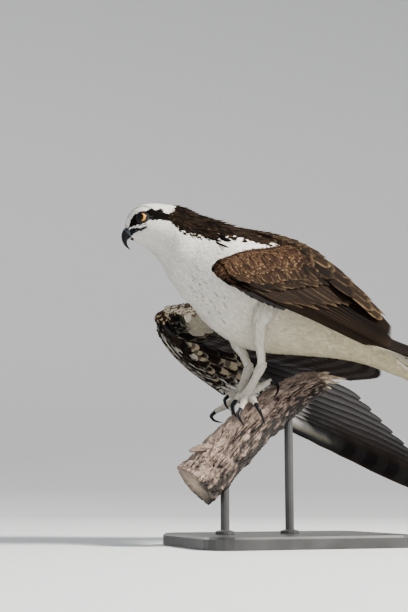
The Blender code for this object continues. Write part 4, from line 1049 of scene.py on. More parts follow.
def shoulder_coat(side, cell):
    """The scapulars of one side, long behind and short in front, over the wing's root."""
    coat = Coat()
    strip = Shoulder(side, cell, 0.0070)
    for start, length, width, count, high in (
        (0.62, 0.070, 0.024, 7, -0.0020), (0.46, 0.072, 0.024, 9, -0.0010), (0.30, 0.062, 0.022, 10, -0.0004),
        (0.17, 0.050, 0.018, 12, 0.0000), (0.08, 0.038, 0.014, 15, 0.0002), (0.00, 0.030, 0.011, 18, 0.0002),
        (-0.07, 0.024, 0.009, 20, -0.0004), (-0.13, 0.022, 0.008, 22, -0.0012),
    ):
        v = -0.06 + 1.34 * (np.arange(count) + 0.5) / count + 0.02 * rng.normal(0, 1, count)
        luck = chance(count)
        base = mix(constant(BLACK, count), BROWN, 0.10 + 0.40 * luck)
        rim = mix(constant(TAN, count), BUFF, 0.4 * luck)
        u = start * strip.LENGTH + 0.004 * rng.normal(0, 1, count)
        coat.lay(
            strip, u, v, length * chance(count, 0.9, 1.1), width, high - 0.0040, high, plain(base), shape=COVERT,
            turn=rng.normal(0, 0.05, count), droop=0.0010, tilt=0.0004, thick=0.0003, ragged=0.06, patch=0.012,
            rim=(rim, 0.08 + 0.40 * luck),
        )
    return coat


def hackles():
    """The ragged crest on the nape and the loose edge of the mantle."""
    coat = Coat()
    for first, last, rows, reach, length, width, lift in (
        (5.5, 9.2, 13, 74.0, 0.021, 0.0036, 0.0034), (8.8, 13.2, 12, 62.0, 0.025, 0.0062, 0.0014),
    ):
        for k in range(rows):
            t = first + (last - first) * k / (rows - 1)
            n = int(np.radians(2 * reach) * 0.040 / (width * 0.75))
            w = np.radians(reach) * ((np.arange(n) + 0.5 + chance(n, -0.3, 0.3)) / n * 2 - 1)
            w = w[np.abs(np.degrees(w)) < table(np.full(n, t), *MASK_LOW) + 2]
            n = len(w)
            luck = chance(n)
            base = mix(constant(BLACK, n), BROWN, 0.05 + 0.4 * luck)
            coat.lay(
                body, t + chance(n, -0.15, 0.15), w, length * chance(n, 0.75, 1.25), width * chance(n, 0.8, 1.2),
                -0.0020, lift * chance(n, 0.0, 1.0), plain(base), shape=MEDIUM, turn=rng.normal(0, 0.16, n),
                droop=0.0006, thick=0.0003, curl=0.0012 * chance(n, -0.3, 1.0), ragged=0.12,
                rim=(constant(TAN * 0.7, n), 0.22 * luck ** 3),
            )
    return coat


# Tail

TAIL_ROOT = np.array((0.2900, 0.0, -0.0560))
TAIL_ALONG = unit((0.857, 0.0, -0.515))
TAIL_UP = unit((0.515, 0.0, 0.857))
TAIL_LENGTH = 0.178
TAIL_STEP = 0.0011
TAIL_TOP = 0.0062
TAIL_FAN = 0.10


class TailPlane(Surface):
    """The plane of the tail. u runs along it and w across it, in metres."""

    eps_u = 0.004
    eps_w = 0.002
    u_span = (-0.03, 0.20)
    w_span = (-0.04, 0.04)

    def __init__(self, cell, facing=1.0):
        self.cell = cell
        self.facing = facing

    def point(self, u, w):
        u, w = np.broadcast_arrays(np.asarray(u, float), np.asarray(w, float))
        bow = -2.5 * w * w
        return TAIL_ROOT + TAIL_ALONG * u[..., None] + np.array((0, 1.0, 0)) * w[..., None] + TAIL_UP * bow[..., None]

    def frame(self, u, w):
        p, _, mu, mw = Surface.frame(self, u, w)
        return p, np.broadcast_to(TAIL_UP * self.facing, p.shape), mu, mw


def tail_coat():
    """Twelve barred feathers, the middle pair on top, with coverts over and under their roots."""
    coat = Coat()
    plane = TailPlane((0.01, 0.93, 0.30, 0.99))
    layer = np.arange(12)
    across = (layer // 2 + 0.5) / 6 * np.where(layer % 2, 1, -1)
    height = TAIL_TOP - TAIL_STEP * layer
    base = mix(constant(BROWN * 0.9, 12), DARK, 0.3)
    below = mix(constant(BROWN * 1.4, 12), CREAM, 0.10)
    coat.lay(
        plane, np.zeros(12), 0.009 * across, TAIL_LENGTH - 0.006 * np.abs(across), 0.029, height, height,
        plain(base, 0.9), shape=FLIGHT, turn=TAIL_FAN * across, thick=0.00033, ragged=0.04, patch=0.05,
        under=plain(below, 0.9), rim=(constant(TAN, 12), np.full(12, 0.15)),
        bar=(mix(constant(CREAM, 12), TAN, 0.35), np.full(12, 0.8)), bar_above=0.10,
    )
    for facing in (1.0, -1.0):
        face = TailPlane((0.32, 0.93, 0.60, 0.99), facing)
        for start, length, count, high in (
            (0.030, 0.056, 9, 0.0092), (0.012, 0.056, 10, 0.0100), (-0.006, 0.052, 10, 0.0106), (-0.024, 0.046, 10, 0.0110),
        ):
            v = (np.arange(count) + 0.5) / count * 2 - 1
            base = constant(BROWN, count) if facing > 0 else constant(mix(WHITE, CREAM, 0.6), count)
            coat.lay(
                face, start + 0.003 * chance(count, -1, 1), 0.014 * v, length * chance(count, 0.9, 1.1), 0.0125,
                high - 0.004, high - 0.0015 * np.abs(v), plain(base), shape=COVERT, turn=0.10 * v, droop=0.0010,
                thick=0.0003, ragged=0.08, patch=0.012,
                rim=(constant(TAN if facing > 0 else CREAM, count), 0.2 + 0.4 * chance(count)),
            )
    return coat


# Legs

LEGS = {
    "left": {
        "thigh": [(0.0780, -0.0480, 0.0120), (0.0670, -0.0530, -0.0130), (0.0606, -0.0520, -0.0310),
                  (0.0638, -0.0465, -0.0573), (0.0684, -0.0405, -0.0815)],
        "ankle": (0.0690, -0.0398, -0.0836),
        "pad": (0.0554, -0.0190, -0.1230),
        "toes": {
            "back": [(0.0610, -0.0200, -0.1200), (0.0760, -0.0230, -0.1100), (0.0893, -0.0250, -0.1025)],
            "inner": [(0.0510, -0.0135, -0.1235), (0.0480, -0.0095, -0.1240), (0.0432, -0.0060, -0.1290)],
            "middle": [(0.0505, -0.0245, -0.1290), (0.0460, -0.0290, -0.1340), (0.0397, -0.0340, -0.1434)],
            "outer": [(0.0580, -0.0260, -0.1280), (0.0585, -0.0340, -0.1310), (0.0590, -0.0400, -0.1360)],
        },
        "claws": {
            "back": [(0.0922, -0.0275, -0.1040), (0.0948, -0.0325, -0.1100), (0.0930, -0.0370, -0.1185),
                     (0.0860, -0.0390, -0.1280)],
            "inner": [(0.0412, -0.0056, -0.1318), (0.0383, -0.0066, -0.1387), (0.0395, -0.0085, -0.1463),
                      (0.0460, -0.0100, -0.1535)],
            "middle": [(0.0378, -0.0358, -0.1463), (0.0352, -0.0390, -0.1530), (0.0375, -0.0405, -0.1600),
                       (0.0435, -0.0395, -0.1665)],
            "outer": [(0.0600, -0.0420, -0.1390), (0.0640, -0.0430, -0.1470), (0.0690, -0.0410, -0.1555),
                      (0.0735, -0.0375, -0.1640)],
        },
    },
    "right": {
        "thigh": [(0.0760, 0.0420, 0.0050), (0.0690, 0.0470, -0.0200), (0.0680, 0.0460, -0.0430),
                  (0.0740, 0.0390, -0.0600), (0.0782, 0.0312, -0.0765)],
        "ankle": (0.0788, 0.0300, -0.0785),
        "pad": (0.0580, 0.0190, -0.1215),
        "toes": {
            "back": [(0.0640, 0.0200, -0.1190), (0.0780, 0.0220, -0.1100), (0.0900, 0.0225, -0.1030)],
            "inner": [(0.0530, 0.0140, -0.1205), (0.0456, 0.0120, -0.1197), (0.0376, 0.0090, -0.1220)],
            "middle": [(0.0510, 0.0220, -0.1270), (0.0390, 0.0245, -0.1360), (0.0250, 0.0258, -0.1432)],
            "outer": [(0.0590, 0.0260, -0.1250), (0.0570, 0.0370, -0.1300), (0.0580, 0.0420, -0.1410)],
        },
        "claws": {
            "back": [(0.0930, 0.0240, -0.1040), (0.0965, 0.0285, -0.1090), (0.0965, 0.0325, -0.1170),
                     (0.0920, 0.0350, -0.1250)],
            "inner": [(0.0358, 0.0080, -0.1240), (0.0330, 0.0075, -0.1290), (0.0345, 0.0065, -0.1360),
                      (0.0400, 0.0060, -0.1420)],
            "middle": [(0.0222, 0.0260, -0.1450), (0.0205, 0.0262, -0.1505), (0.0265, 0.0266, -0.1560),
                       (0.0375, 0.0266, -0.1575)],
            "outer": [(0.0590, 0.0428, -0.1448), (0.0620, 0.0420, -0.1530), (0.0665, 0.0390, -0.1610),
                      (0.0710, 0.0350, -0.1670)],
        },
    },
}
THIGH_RADII = [(0.0210,), (0.0165,), (0.0100,), (0.0064,), (0.0058,)]
SHANK_PLACES = (-0.12, 0.12, 0.45, 0.80, 1.0)
SHANK_RADII = (0.0050, 0.0068, 0.0056, 0.0064, 0.0086, 0.0056)
TOE_RADIUS = 0.0054
CLAW_RADIUS = 0.0031


class Tube(Surface):
    """A tube along a path. u is the share along it from 0 to 1 and w the angle round it."""

    eps_u = 0.01
    eps_w = 0.02
    w_span = (-math.pi, math.pi)

    def __init__(self, path, radii, up=(1, 0, 0), cell=(0, 0, 1, 1)):
        self.path = np.asarray(path, float)
        self.radii = np.asarray(radii, float).reshape(-1, 1)
        self.up = np.asarray(up, float)
        self.cell = cell

    def axis(self, u):
        last = len(self.path) - 1
        at = spline(self.path, last * u)
        along = unit(spline(self.path, last * (u + 0.01)) - spline(self.path, last * (u - 0.01)))
        side = unit(np.cross(along, self.up))
        high = unit(np.cross(side, along))
        return at, along, side, high

    def radius(self, u):
        return spline(self.radii, (len(self.radii) - 1) * np.clip(u, 0, 1))[..., 0]

    def point(self, u, w):
        u, w = np.broadcast_arrays(np.asarray(u, float), np.asarray(w, float))
        at, _, side, high = self.axis(u)
        r = self.radius(u)[..., None]
        return at + side * (r * np.cos(w)[..., None]) + high * (r * np.sin(w)[..., None])

    def frame(self, u, w):
        p, n, mu, mw = Surface.frame(self, u, w)
        out = p - self.axis(np.broadcast_to(u, p.shape[:-1]))[0]
        sign = np.sign(np.sum(n * out, -1, keepdims=True))
        return p, n * np.where(sign == 0, 1, sign), mu, mw


def thigh_tube(word, cell=(0, 0, 1, 1)):
    return Tube(LEGS[word]["thigh"], THIGH_RADII, (1, 0, 0), cell)


def leg_coat(word, cell):
    """The short white feathers of one thigh, painted towards an olive buff as shade, which end in a loose tuft over the
    ankle.
    """
    coat = Coat()
    tube = thigh_tube(word, cell)
    for k in range(26):
        t = -0.05 + 1.0 * k / 25
        r = float(tube.radius(np.array([t]))[0])
        n = max(int(2 * math.pi * r / 0.0030), 9)
        w = (np.arange(n) + 0.5 * (k % 2) + chance(n, -0.3, 0.3)) / n * 2 * math.pi - math.pi
        luck = chance(n)
        # White mixed towards the olive buff of the shaded belly: painted shade.
        colour = mix(constant(WHITE, n), BELLY_IN_SHADE, 0.30 + 0.40 * luck) * 0.95

        def tint(i, s, x, colour=colour):
            # Darker towards the root: painted shade where the feathers overlap.
            return colour[i] * (0.74 + 0.26 * smooth(s * 1.6))[..., None]

        coat.lay(
            tube, t + 0.01 * chance(n, -1, 1), w, 0.0125 * chance(n, 0.8, 1.2), 0.0048, -0.0022,
            0.0004 * chance(n, -0.5, 1.5), tint, turn=rng.normal(0, 0.12, n), droop=0.0003, thick=0.00022,
            curl=0.0006 * chance(n, -0.5, 1.0), ragged=0.10,
        )
    return coat


# Finishes

def nodes_of(name):
    made = bpy.data.materials.new(name)
    made.use_nodes = True
    tree = made.node_tree
    tree.nodes.clear()
    out = tree.nodes.new("ShaderNodeOutputMaterial")
    shader = tree.nodes.new("ShaderNodeBsdfPrincipled")
    tree.links.new(shader.outputs["BSDF"], out.inputs["Surface"])
    return made, tree, shader


def add(tree, kind, settings=None, **inputs):
    node = tree.nodes.new(kind)
    for key, value in (settings or {}).items():
        setattr(node, key, value)
    for key, value in inputs.items():
        slot = node.inputs[int(key[1:])] if key[0] == "i" and key[1:].isdigit() else node.inputs[key.replace("_", " ")]
        if isinstance(value, bpy.types.NodeSocket):
            tree.links.new(value, slot)
        else:
            slot.default_value = value
    return node


def mixed(tree, share, a, b, blend="MIX"):
    """The colour socket of a mix of two colours."""
    node = tree.nodes.new("ShaderNodeMix")
    node.data_type = "RGBA"
    node.blend_type = blend
    for slot, value in ((node.inputs[0], share), (node.inputs[6], a), (node.inputs[7], b)):
        if isinstance(value, bpy.types.NodeSocket):
            tree.links.new(value, slot)
        elif slot.type == "RGBA":
            slot.default_value = (*value, 1.0)
        else:
            slot.default_value = value
    return node.outputs[2]


def ramp(tree, source, stops):
    node = tree.nodes.new("ShaderNodeValToRGB")
    tree.links.new(source, node.inputs["Fac"])
    while len(node.color_ramp.elements) < len(stops):
        node.color_ramp.elements.new(0.5)
    for element, (place, colour) in zip(node.color_ramp.elements, stops):
        element.position = place
        if isinstance(colour, (int, float)):
            colour = (colour,) * 3
        element.color = (*colour, 1.0)
    return node.outputs["Color"]


def math_node(tree, operation, a, b=0.0, clamp=False):
    node = tree.nodes.new("ShaderNodeMath")
    node.operation = operation
    node.use_clamp = clamp
    for slot, value in ((node.inputs[0], a), (node.inputs[1], b)):
        if isinstance(value, bpy.types.NodeSocket):
            tree.links.new(value, slot)
        else:
            slot.default_value = value
    return node.outputs[0]


def feather_finish(name, roughness, sheen, barbs, slope, bars=0.0):
    """Plumage: the feather's own tint with crisp bars, a rim and barbs that run out from the shaft."""
    made, tree, shader = nodes_of(name)
    tint = add(tree, "ShaderNodeAttribute", {"attribute_name": "tint"})
    rim = add(tree, "ShaderNodeAttribute", {"attribute_name": "rim"})
    bar = add(tree, "ShaderNodeAttribute", {"attribute_name": "bar"})
    where = add(tree, "ShaderNodeTexCoord")
    vane = add(tree, "ShaderNodeUVMap", {"uv_map": "vane"})
    split = add(tree, "ShaderNodeSeparateXYZ", Vector=vane.outputs["UV"])
    grain = add(tree, "ShaderNodeTexNoise", Vector=where.outputs["Object"], Scale=420.0, Detail=3.0)
    cloud = add(tree, "ShaderNodeTexNoise", Vector=where.outputs["Object"], Scale=55.0, Detail=2.0)
    rough = math_node(tree, "SUBTRACT", grain.outputs["Fac"], 0.5)
    across = math_node(tree, "MULTIPLY", math_node(tree, "ABSOLUTE", math_node(tree, "SUBTRACT", split.outputs["X"], 0.5)), 2.0)
    along = split.outputs["Y"]
    slant = math_node(tree, "SUBTRACT", along, math_node(tree, "MULTIPLY", across, slope))
    slant = math_node(tree, "ADD", slant, math_node(tree, "MULTIPLY", rough, 0.05))
    barb = math_node(tree, "SINE", math_node(tree, "MULTIPLY", slant, barbs))

    # Bars across the vane
    wave = math_node(tree, "ADD", math_node(tree, "MULTIPLY", along, bars * 2 * math.pi), math_node(tree, "MULTIPLY", across, 0.9))
    wave = math_node(tree, "ADD", math_node(tree, "SINE", wave), math_node(tree, "MULTIPLY", rough, 1.2))
    on = ramp(tree, math_node(tree, "ADD", math_node(tree, "MULTIPLY", wave, 0.5), 0.5), [(0.48, 0.0), (0.60, 1.0)])
    on = math_node(tree, "MULTIPLY", on, bar.outputs["Alpha"])
    colour = mixed(tree, on, tint.outputs["Color"], bar.outputs["Color"])

    # The rim along the vane's edge and over its tip
    edge = math_node(tree, "ADD", across, math_node(tree, "MULTIPLY", rough, 0.35))
    edge = ramp(tree, edge, [(0.60, 0.0), (0.95, 0.85)])
    edge = math_node(tree, "MULTIPLY", edge, ramp(tree, along, [(0.20, 0.0), (0.60, 1.0)]))
    tip = math_node(tree, "ADD", along, math_node(tree, "MULTIPLY", rough, 0.10))
    tip = ramp(tree, math_node(tree, "SUBTRACT", tip, math_node(tree, "MULTIPLY", across, -0.03)), [(0.88, 0.0), (1.0, 0.6)])
    share = math_node(tree, "MULTIPLY", math_node(tree, "MAXIMUM", edge, tip), rim.outputs["Alpha"])
    colour = mixed(tree, share, colour, rim.outputs["Color"])

    colour = mixed(tree, 0.30, colour, ramp(tree, grain.outputs["Fac"], [(0.30, 0.45), (0.70, 1.0)]), "MULTIPLY")
    colour = mixed(tree, 0.22, colour, ramp(tree, cloud.outputs["Fac"], [(0.35, 0.72), (0.65, 1.0)]), "MULTIPLY")
    line = ramp(tree, math_node(tree, "ADD", math_node(tree, "MULTIPLY", barb, 0.5), 0.5), [(0.0, 0.70), (0.5, 1.0)])
    colour = mixed(tree, 0.45, colour, line, "MULTIPLY")
    tree.links.new(colour, shader.inputs["Base Color"])
    height = math_node(tree, "ADD", math_node(tree, "MULTIPLY", barb, 0.5), math_node(tree, "MULTIPLY", grain.outputs["Fac"], 0.6))
    bump = add(tree, "ShaderNodeBump", Strength=0.30, Distance=0.0003, Height=height)
    tree.links.new(bump.outputs["Normal"], shader.inputs["Normal"])
    shader.inputs["Roughness"].default_value = roughness
    shader.inputs["Specular IOR Level"].default_value = 0.02
    shader.inputs["Sheen Weight"].default_value = sheen
    shader.inputs["Sheen Roughness"].default_value = 0.5
    return made


def skin_finish():
    """The skin under the plumage: the same markings, darker as painted shade deep in the plumage, and finely wrinkled.
    """
    made, tree, shader = nodes_of("skin_under_plumage")
    tint = add(tree, "ShaderNodeAttribute", {"attribute_name": "tint"})
    where = add(tree, "ShaderNodeTexCoord")
    cells = add(tree, "ShaderNodeTexVoronoi", Vector=where.outputs["Object"], Scale=330.0)
    colour = mixed(tree, 0.6, tint.outputs["Color"], ramp(tree, cells.outputs["Distance"], [(0.0, 1.0), (0.8, 0.45)]), "MULTIPLY")
    tree.links.new(colour, shader.inputs["Base Color"])
    bump = add(tree, "ShaderNodeBump", Strength=0.6, Distance=0.0008, Height=cells.outputs["Distance"])
    tree.links.new(bump.outputs["Normal"], shader.inputs["Normal"])
    shader.inputs["Roughness"].default_value = 0.8
    return made


def tinted_finish(name, roughness, scale, depth, coat=0.0, mottle=0.25, speck=0.3):
    """A finish that takes its colour from the mesh's tint, mottled and bumped by noise."""
    made, tree, shader = nodes_of(name)
    tint = add(tree, "ShaderNodeAttribute", {"attribute_name": "tint"})
    where = add(tree, "ShaderNodeTexCoord")
    grain = add(tree, "ShaderNodeTexNoise", Vector=where.outputs["Object"], Scale=scale, Detail=4.0)
    broad = add(tree, "ShaderNodeTexNoise", Vector=where.outputs["Object"], Scale=scale * 0.18, Detail=3.0)
    colour = mixed(tree, speck, tint.outputs["Color"], ramp(tree, grain.outputs["Fac"], [(0.30, 0.35), (0.65, 1.0)]), "MULTIPLY")
    colour = mixed(tree, mottle, colour, ramp(tree, broad.outputs["Fac"], [(0.35, 0.5), (0.65, 1.0)]), "MULTIPLY")
    tree.links.new(colour, shader.inputs["Base Color"])
    rough = add(tree, "ShaderNodeMapRange", Value=broad.outputs["Fac"])
    rough.inputs["To Min"].default_value = roughness * 0.75
    rough.inputs["To Max"].default_value = min(roughness * 1.25, 1.0)
    tree.links.new(rough.outputs["Result"], shader.inputs["Roughness"])
    bump = add(tree, "ShaderNodeBump", Strength=0.5, Distance=depth, Height=grain.outputs["Fac"])
    tree.links.new(bump.outputs["Normal"], shader.inputs["Normal"])
    shader.inputs["Specular IOR Level"].default_value = 0.10
    shader.inputs["Coat Weight"].default_value = coat
    shader.inputs["Coat Roughness"].default_value = 0.06
    return made


def scale_finish():
    """Scaly skin of the feet: raised cells with darker lines between them."""
    made, tree, shader = nodes_of("scaly_skin")
    tint = add(tree, "ShaderNodeAttribute", {"attribute_name": "tint"})
    where = add(tree, "ShaderNodeTexCoord")
    cells = add(tree, "ShaderNodeTexVoronoi", {"feature": "DISTANCE_TO_EDGE"}, Vector=where.outputs["Object"], Scale=820.0)
    broad = add(tree, "ShaderNodeTexNoise", Vector=where.outputs["Object"], Scale=160.0, Detail=3.0)
    lines = ramp(tree, cells.outputs["Distance"], [(0.0, 0.30), (0.12, 1.0)])
    colour = mixed(tree, 0.75, tint.outputs["Color"], lines, "MULTIPLY")
    colour = mixed(tree, 0.35, colour, ramp(tree, broad.outputs["Fac"], [(0.35, 0.55), (0.65, 1.0)]), "MULTIPLY")
    tree.links.new(colour, shader.inputs["Base Color"])
    height = ramp(tree, cells.outputs["Distance"], [(0.0, 0.0), (0.25, 1.0)])
    bump = add(tree, "ShaderNodeBump", Strength=0.8, Distance=0.0004, Height=height)
    tree.links.new(bump.outputs["Normal"], shader.inputs["Normal"])
    shader.inputs["Roughness"].default_value = 0.55
    return made


def bark_finish():
    """Weathered bark: pink brown flakes over dark cracks, on the mesh's tint, which is paler on top, partly weathering
    and partly painted light, and darker below as painted shade.
    """
    made, tree, shader = nodes_of("flaking_bark")
    tint = add(tree, "ShaderNodeAttribute", {"attribute_name": "tint"})
    where = add(tree, "ShaderNodeTexCoord")
    stretched = add(tree, "ShaderNodeMapping", Vector=where.outputs["Object"])
    stretched.inputs["Rotation"].default_value = (0.0, math.radians(38.0), 0.0)
    stretched.inputs["Scale"].default_value = (0.45, 1.0, 1.0)
    flakes = add(tree, "ShaderNodeTexVoronoi", {"feature": "DISTANCE_TO_EDGE"}, Vector=stretched.outputs["Vector"], Scale=120.0)
    grain = add(tree, "ShaderNodeTexNoise", Vector=stretched.outputs["Vector"], Scale=260.0, Detail=6.0, Roughness=0.65)
    broad = add(tree, "ShaderNodeTexNoise", Vector=where.outputs["Object"], Scale=38.0, Detail=4.0)
    colour = mixed(tree, 0.55, tint.outputs["Color"], ramp(tree, grain.outputs["Fac"], [(0.32, 0.25), (0.62, 1.0)]), "MULTIPLY")
    colour = mixed(tree, 0.5, colour, ramp(tree, broad.outputs["Fac"], [(0.35, (0.42, 0.38, 0.36)), (0.62, (1.0, 1.0, 1.0))]), "MULTIPLY")
    colour = mixed(tree, 0.45, colour, ramp(tree, flakes.outputs["Distance"], [(0.0, 0.15), (0.08, 1.0)]), "MULTIPLY")
    tree.links.new(colour, shader.inputs["Base Color"])
    height = math_node(tree, "ADD", grain.outputs["Fac"], math_node(tree, "MULTIPLY", flakes.outputs["Distance"], 1.2))
    bump = add(tree, "ShaderNodeBump", Strength=0.9, Distance=0.0012, Height=height)
    tree.links.new(bump.outputs["Normal"], shader.inputs["Normal"])
    shader.inputs["Roughness"].default_value = 0.88
    return made


def stand_finish():
    made, tree, shader = nodes_of("satin_black")
    where = add(tree, "ShaderNodeTexCoord")
    grain = add(tree, "ShaderNodeTexNoise", Vector=where.outputs["Object"], Scale=900.0, Detail=2.0)
    broad = add(tree, "ShaderNodeTexNoise", Vector=where.outputs["Object"], Scale=30.0, Detail=3.0)
    tree.links.new(ramp(tree, broad.outputs["Fac"], [(0.3, 0.020), (0.7, 0.034)]), shader.inputs["Base Color"])
    tree.links.new(ramp(tree, broad.outputs["Fac"], [(0.3, 0.36), (0.7, 0.48)]), shader.inputs["Roughness"])
    bump = add(tree, "ShaderNodeBump", Strength=0.15, Distance=0.0002, Height=grain.outputs["Fac"])
    tree.links.new(bump.outputs["Normal"], shader.inputs["Normal"])
    return made


def eye_finish():
    """A wet eye: black pupil, amber iris with fine rays, dark rim. The tint's red is the angle off the gaze."""
    made, tree, shader = nodes_of("wet_eye")
    tint = add(tree, "ShaderNodeAttribute", {"attribute_name": "tint"})
    split = add(tree, "ShaderNodeSeparateColor", Color=tint.outputs["Color"])
    where = add(tree, "ShaderNodeTexCoord")
    rays = add(tree, "ShaderNodeTexNoise", Vector=where.outputs["Object"], Scale=1400.0, Detail=3.0)
    zones = ramp(tree, split.outputs["Red"], [
        (0.0, (0.001, 0.001, 0.001)), (0.315, (0.001, 0.001, 0.001)), (0.335, (0.22, 0.09, 0.008)),
        (0.40, (0.62, 0.28, 0.022)), (0.49, (0.52, 0.21, 0.016)), (0.55, (0.05, 0.020, 0.008)),
        (0.60, (0.008, 0.006, 0.005)),
    ])
    colour = mixed(tree, 0.35, zones, ramp(tree, rays.outputs["Fac"], [(0.3, 0.4), (0.7, 1.0)]), "MULTIPLY")
    tree.links.new(colour, shader.inputs["Base Color"])
    shader.inputs["Roughness"].default_value = 0.25
    shader.inputs["Specular IOR Level"].default_value = 0.06
    shader.inputs["Coat Weight"].default_value = 0.16
    shader.inputs["Coat Roughness"].default_value = 0.02
    return made


def floor_finish():
    made, tree, shader = nodes_of("plain_floor")
    shader.inputs["Base Color"].default_value = (0.60, 0.61, 0.62, 1.0)
    shader.inputs["Roughness"].default_value = 0.9
    return made


LOOK = {
    "white": feather_finish("white_plumage_look", 0.85, 0.0, 75.0, 0.50),
    "brown": feather_finish("brown_plumage_look", 0.72, 0.0, 170.0, 0.30, 2.0),
    "flight": feather_finish("flight_feather_look", 0.68, 0.0, 700.0, 0.06, 11.0),
    "tail": feather_finish("tail_feather_look", 0.66, 0.0, 520.0, 0.08, 7.0),
    "skin": skin_finish(),
    "horn": tinted_finish("black_horn_look", 0.28, 700.0, 0.00012, coat=0.02, mottle=0.35, speck=0.25),
    "lid": tinted_finish("lid_skin", 0.45, 1500.0, 0.0002, mottle=0.3, speck=0.4),
    "leg": scale_finish(),
    "eye": eye_finish(),
    "bark": bark_finish(),
    "stand": stand_finish(),
    "floor": floor_finish(),
}


def tube_mesh(path, radii, sides, up=(0, 0, 1), steps=None, swell=None):
    """Points and triangles of a fine closed tube. swell(share, angle) adds to the radius."""
    steps = steps or len(path)
    tube = Tube(path, radii, up)
    share = np.linspace(0.0, 1.0, steps)
    angle = 2 * math.pi * np.arange(sides) / sides
    uu, ww = np.meshgrid(share, angle, indexing="ij")
    at, _, side, high = tube.axis(uu)
    r = tube.radius(uu)
    if swell is not None:
        r = r + swell(uu, ww)
    points = at + side * (r * np.cos(ww))[..., None] + high * (r * np.sin(ww))[..., None]
    return close_rings(points)


def close_rings(points):
    """A closed mesh from rings of points, with a middle point at each end."""
    rings, sides = points.shape[:2]
    flat = points.reshape(-1, 3)
    ends = np.array([points[0].mean(0), points[-1].mean(0)])
    faces = []
    j = np.arange(sides)
    nxt = (j + 1) % sides
    for i in range(rings - 1):
        a, b = i * sides + j, i * sides + nxt
        faces.append(np.stack([a, b, b + sides], 1))
        faces.append(np.stack([a, b + sides, a + sides], 1))
    first, last = len(flat), len(flat) + 1
    faces.append(np.stack([np.full(sides, first), nxt, j], 1))
    base = (rings - 1) * sides
    faces.append(np.stack([np.full(sides, last), base + j, base + nxt], 1))
    faces = np.vstack(faces)
    points = np.vstack([flat, ends])
    if signed_volume(points, faces) < 0:
        faces = faces[:, ::-1]
    return points, faces


def signed_volume(points, faces):
    a, b, c = points[faces[:, 0]], points[faces[:, 1]], points[faces[:, 2]]
    return float(np.sum(a * np.cross(b, c)) / 6)


def hash_noise(points, scale, seed=0.0):
    """Blender's noise at an array of points."""
    return np.array([noise.noise(Vector((p[0] * scale + seed, p[1] * scale, p[2] * scale))) for p in points])


# Skin

def skin_piece():
    """One skin for head, neck, torso, tail root, wing arms and thighs, inside the plumage by its depth."""
    shells = []
    share = np.linspace(0.0, 20.0, 161)
    angle = 2 * math.pi * np.arange(72) / 72
    uu, ww = np.meshgrid(share, angle, indexing="ij")
    shells.append(close_rings(body.point(uu, ww, -table(uu, *DEPTH) * 0.95)))
    for word in ("left", "right"):
        for name, span in (("arm", (-0.20, 1.0)), ("hand", (0.0, 1.0))):
            sheet = Sheet(word, name)
            v = np.linspace(span[0], span[1], 28)
            a = sheet.edge(v)
            b = sheet.root(v) + unit(sheet.tip(v) - sheet.root(v)) * CORE_BEYOND
            n = sheet.up(v)
            t = sheet.core_half(v)[:, None] * 0.86
            at = ((0.02, 0.0), (0.10, 0.50), (0.18, 0.75), (0.45, 1.0), (0.70, 0.85), (0.82, 0.55), (0.98, 0.0),
                  (0.82, -0.55), (0.70, -0.85), (0.45, -1.0), (0.18, -0.75), (0.10, -0.50))
            ring = np.stack([a + (b - a) * f + n * (t * h) for f, h in at], 1)
            shells.append(close_rings(ring))
        arm, hand = Sheet(word, "arm"), Sheet(word, "hand")
        one, zero = np.array([1.0]), np.array([0.0])
        bend = [arm.edge(one)[0], (arm.edge(one)[0] + hand.edge(zero)[0]) / 2, hand.edge(zero)[0]]
        inner = (arm.root(one)[0] + hand.root(zero)[0]) / 2
        path = [p + (inner - p) * 0.22 for p in bend]
        shells.append(tube_mesh([path[0] + (path[0] - path[1]) * 0.8] + path + [path[2] + (path[2] - path[1]) * 0.8],
                                [0.0050] * 5, 16, (0, 0, 1), 14))
        shells.append(tube_mesh(LEGS[word]["thigh"], [(max(r[0] - 0.0022, 0.0036),) for r in THIGH_RADII], 20, (1, 0, 0), 24))
        strip = Shoulder(WINGS[word]["side"], (0, 0, 1, 1))
        u = np.linspace(0.0, 0.15, 16)
        ring = []
        for w, tall in (
            (0.0, -0.0045), (0.2, -0.0036), (0.5, -0.0032), (0.8, -0.0036), (1.0, -0.0045), (0.8, -0.0075),
            (0.5, -0.0085), (0.2, -0.0075),
        ):
            p, n, _, _ = strip.frame(u, np.full(16, w))
            ring.append(p + n * tall)
        shells.append(close_rings(np.stack(ring, 1)))
    points, faces, count = [], [], 0
    for p, f in shells:
        points.append(p)
        faces.append(f + count)
        count += len(p)
    rough = make_object("skin_rough", np.vstack(points), np.vstack(faces), LOOK["skin"], flat=True)
    remesh = rough.modifiers.new("remesh", "REMESH")
    remesh.mode = "VOXEL"
    remesh.voxel_size = 0.0022
    ease = rough.modifiers.new("ease", "SMOOTH")
    ease.iterations = 3
    graph = bpy.context.evaluated_depsgraph_get()
    mesh = bpy.data.meshes.new_from_object(rough.evaluated_get(graph))
    bpy.data.objects.remove(rough)
    mesh.name = "skin"
    skin = bpy.data.objects.new("skin", mesh)
    bpy.context.scene.collection.objects.link(skin)
    mesh.materials.clear()
    mesh.materials.append(LOOK["skin"])
    mesh.shade_smooth()
    tint_skin(mesh)
    return skin


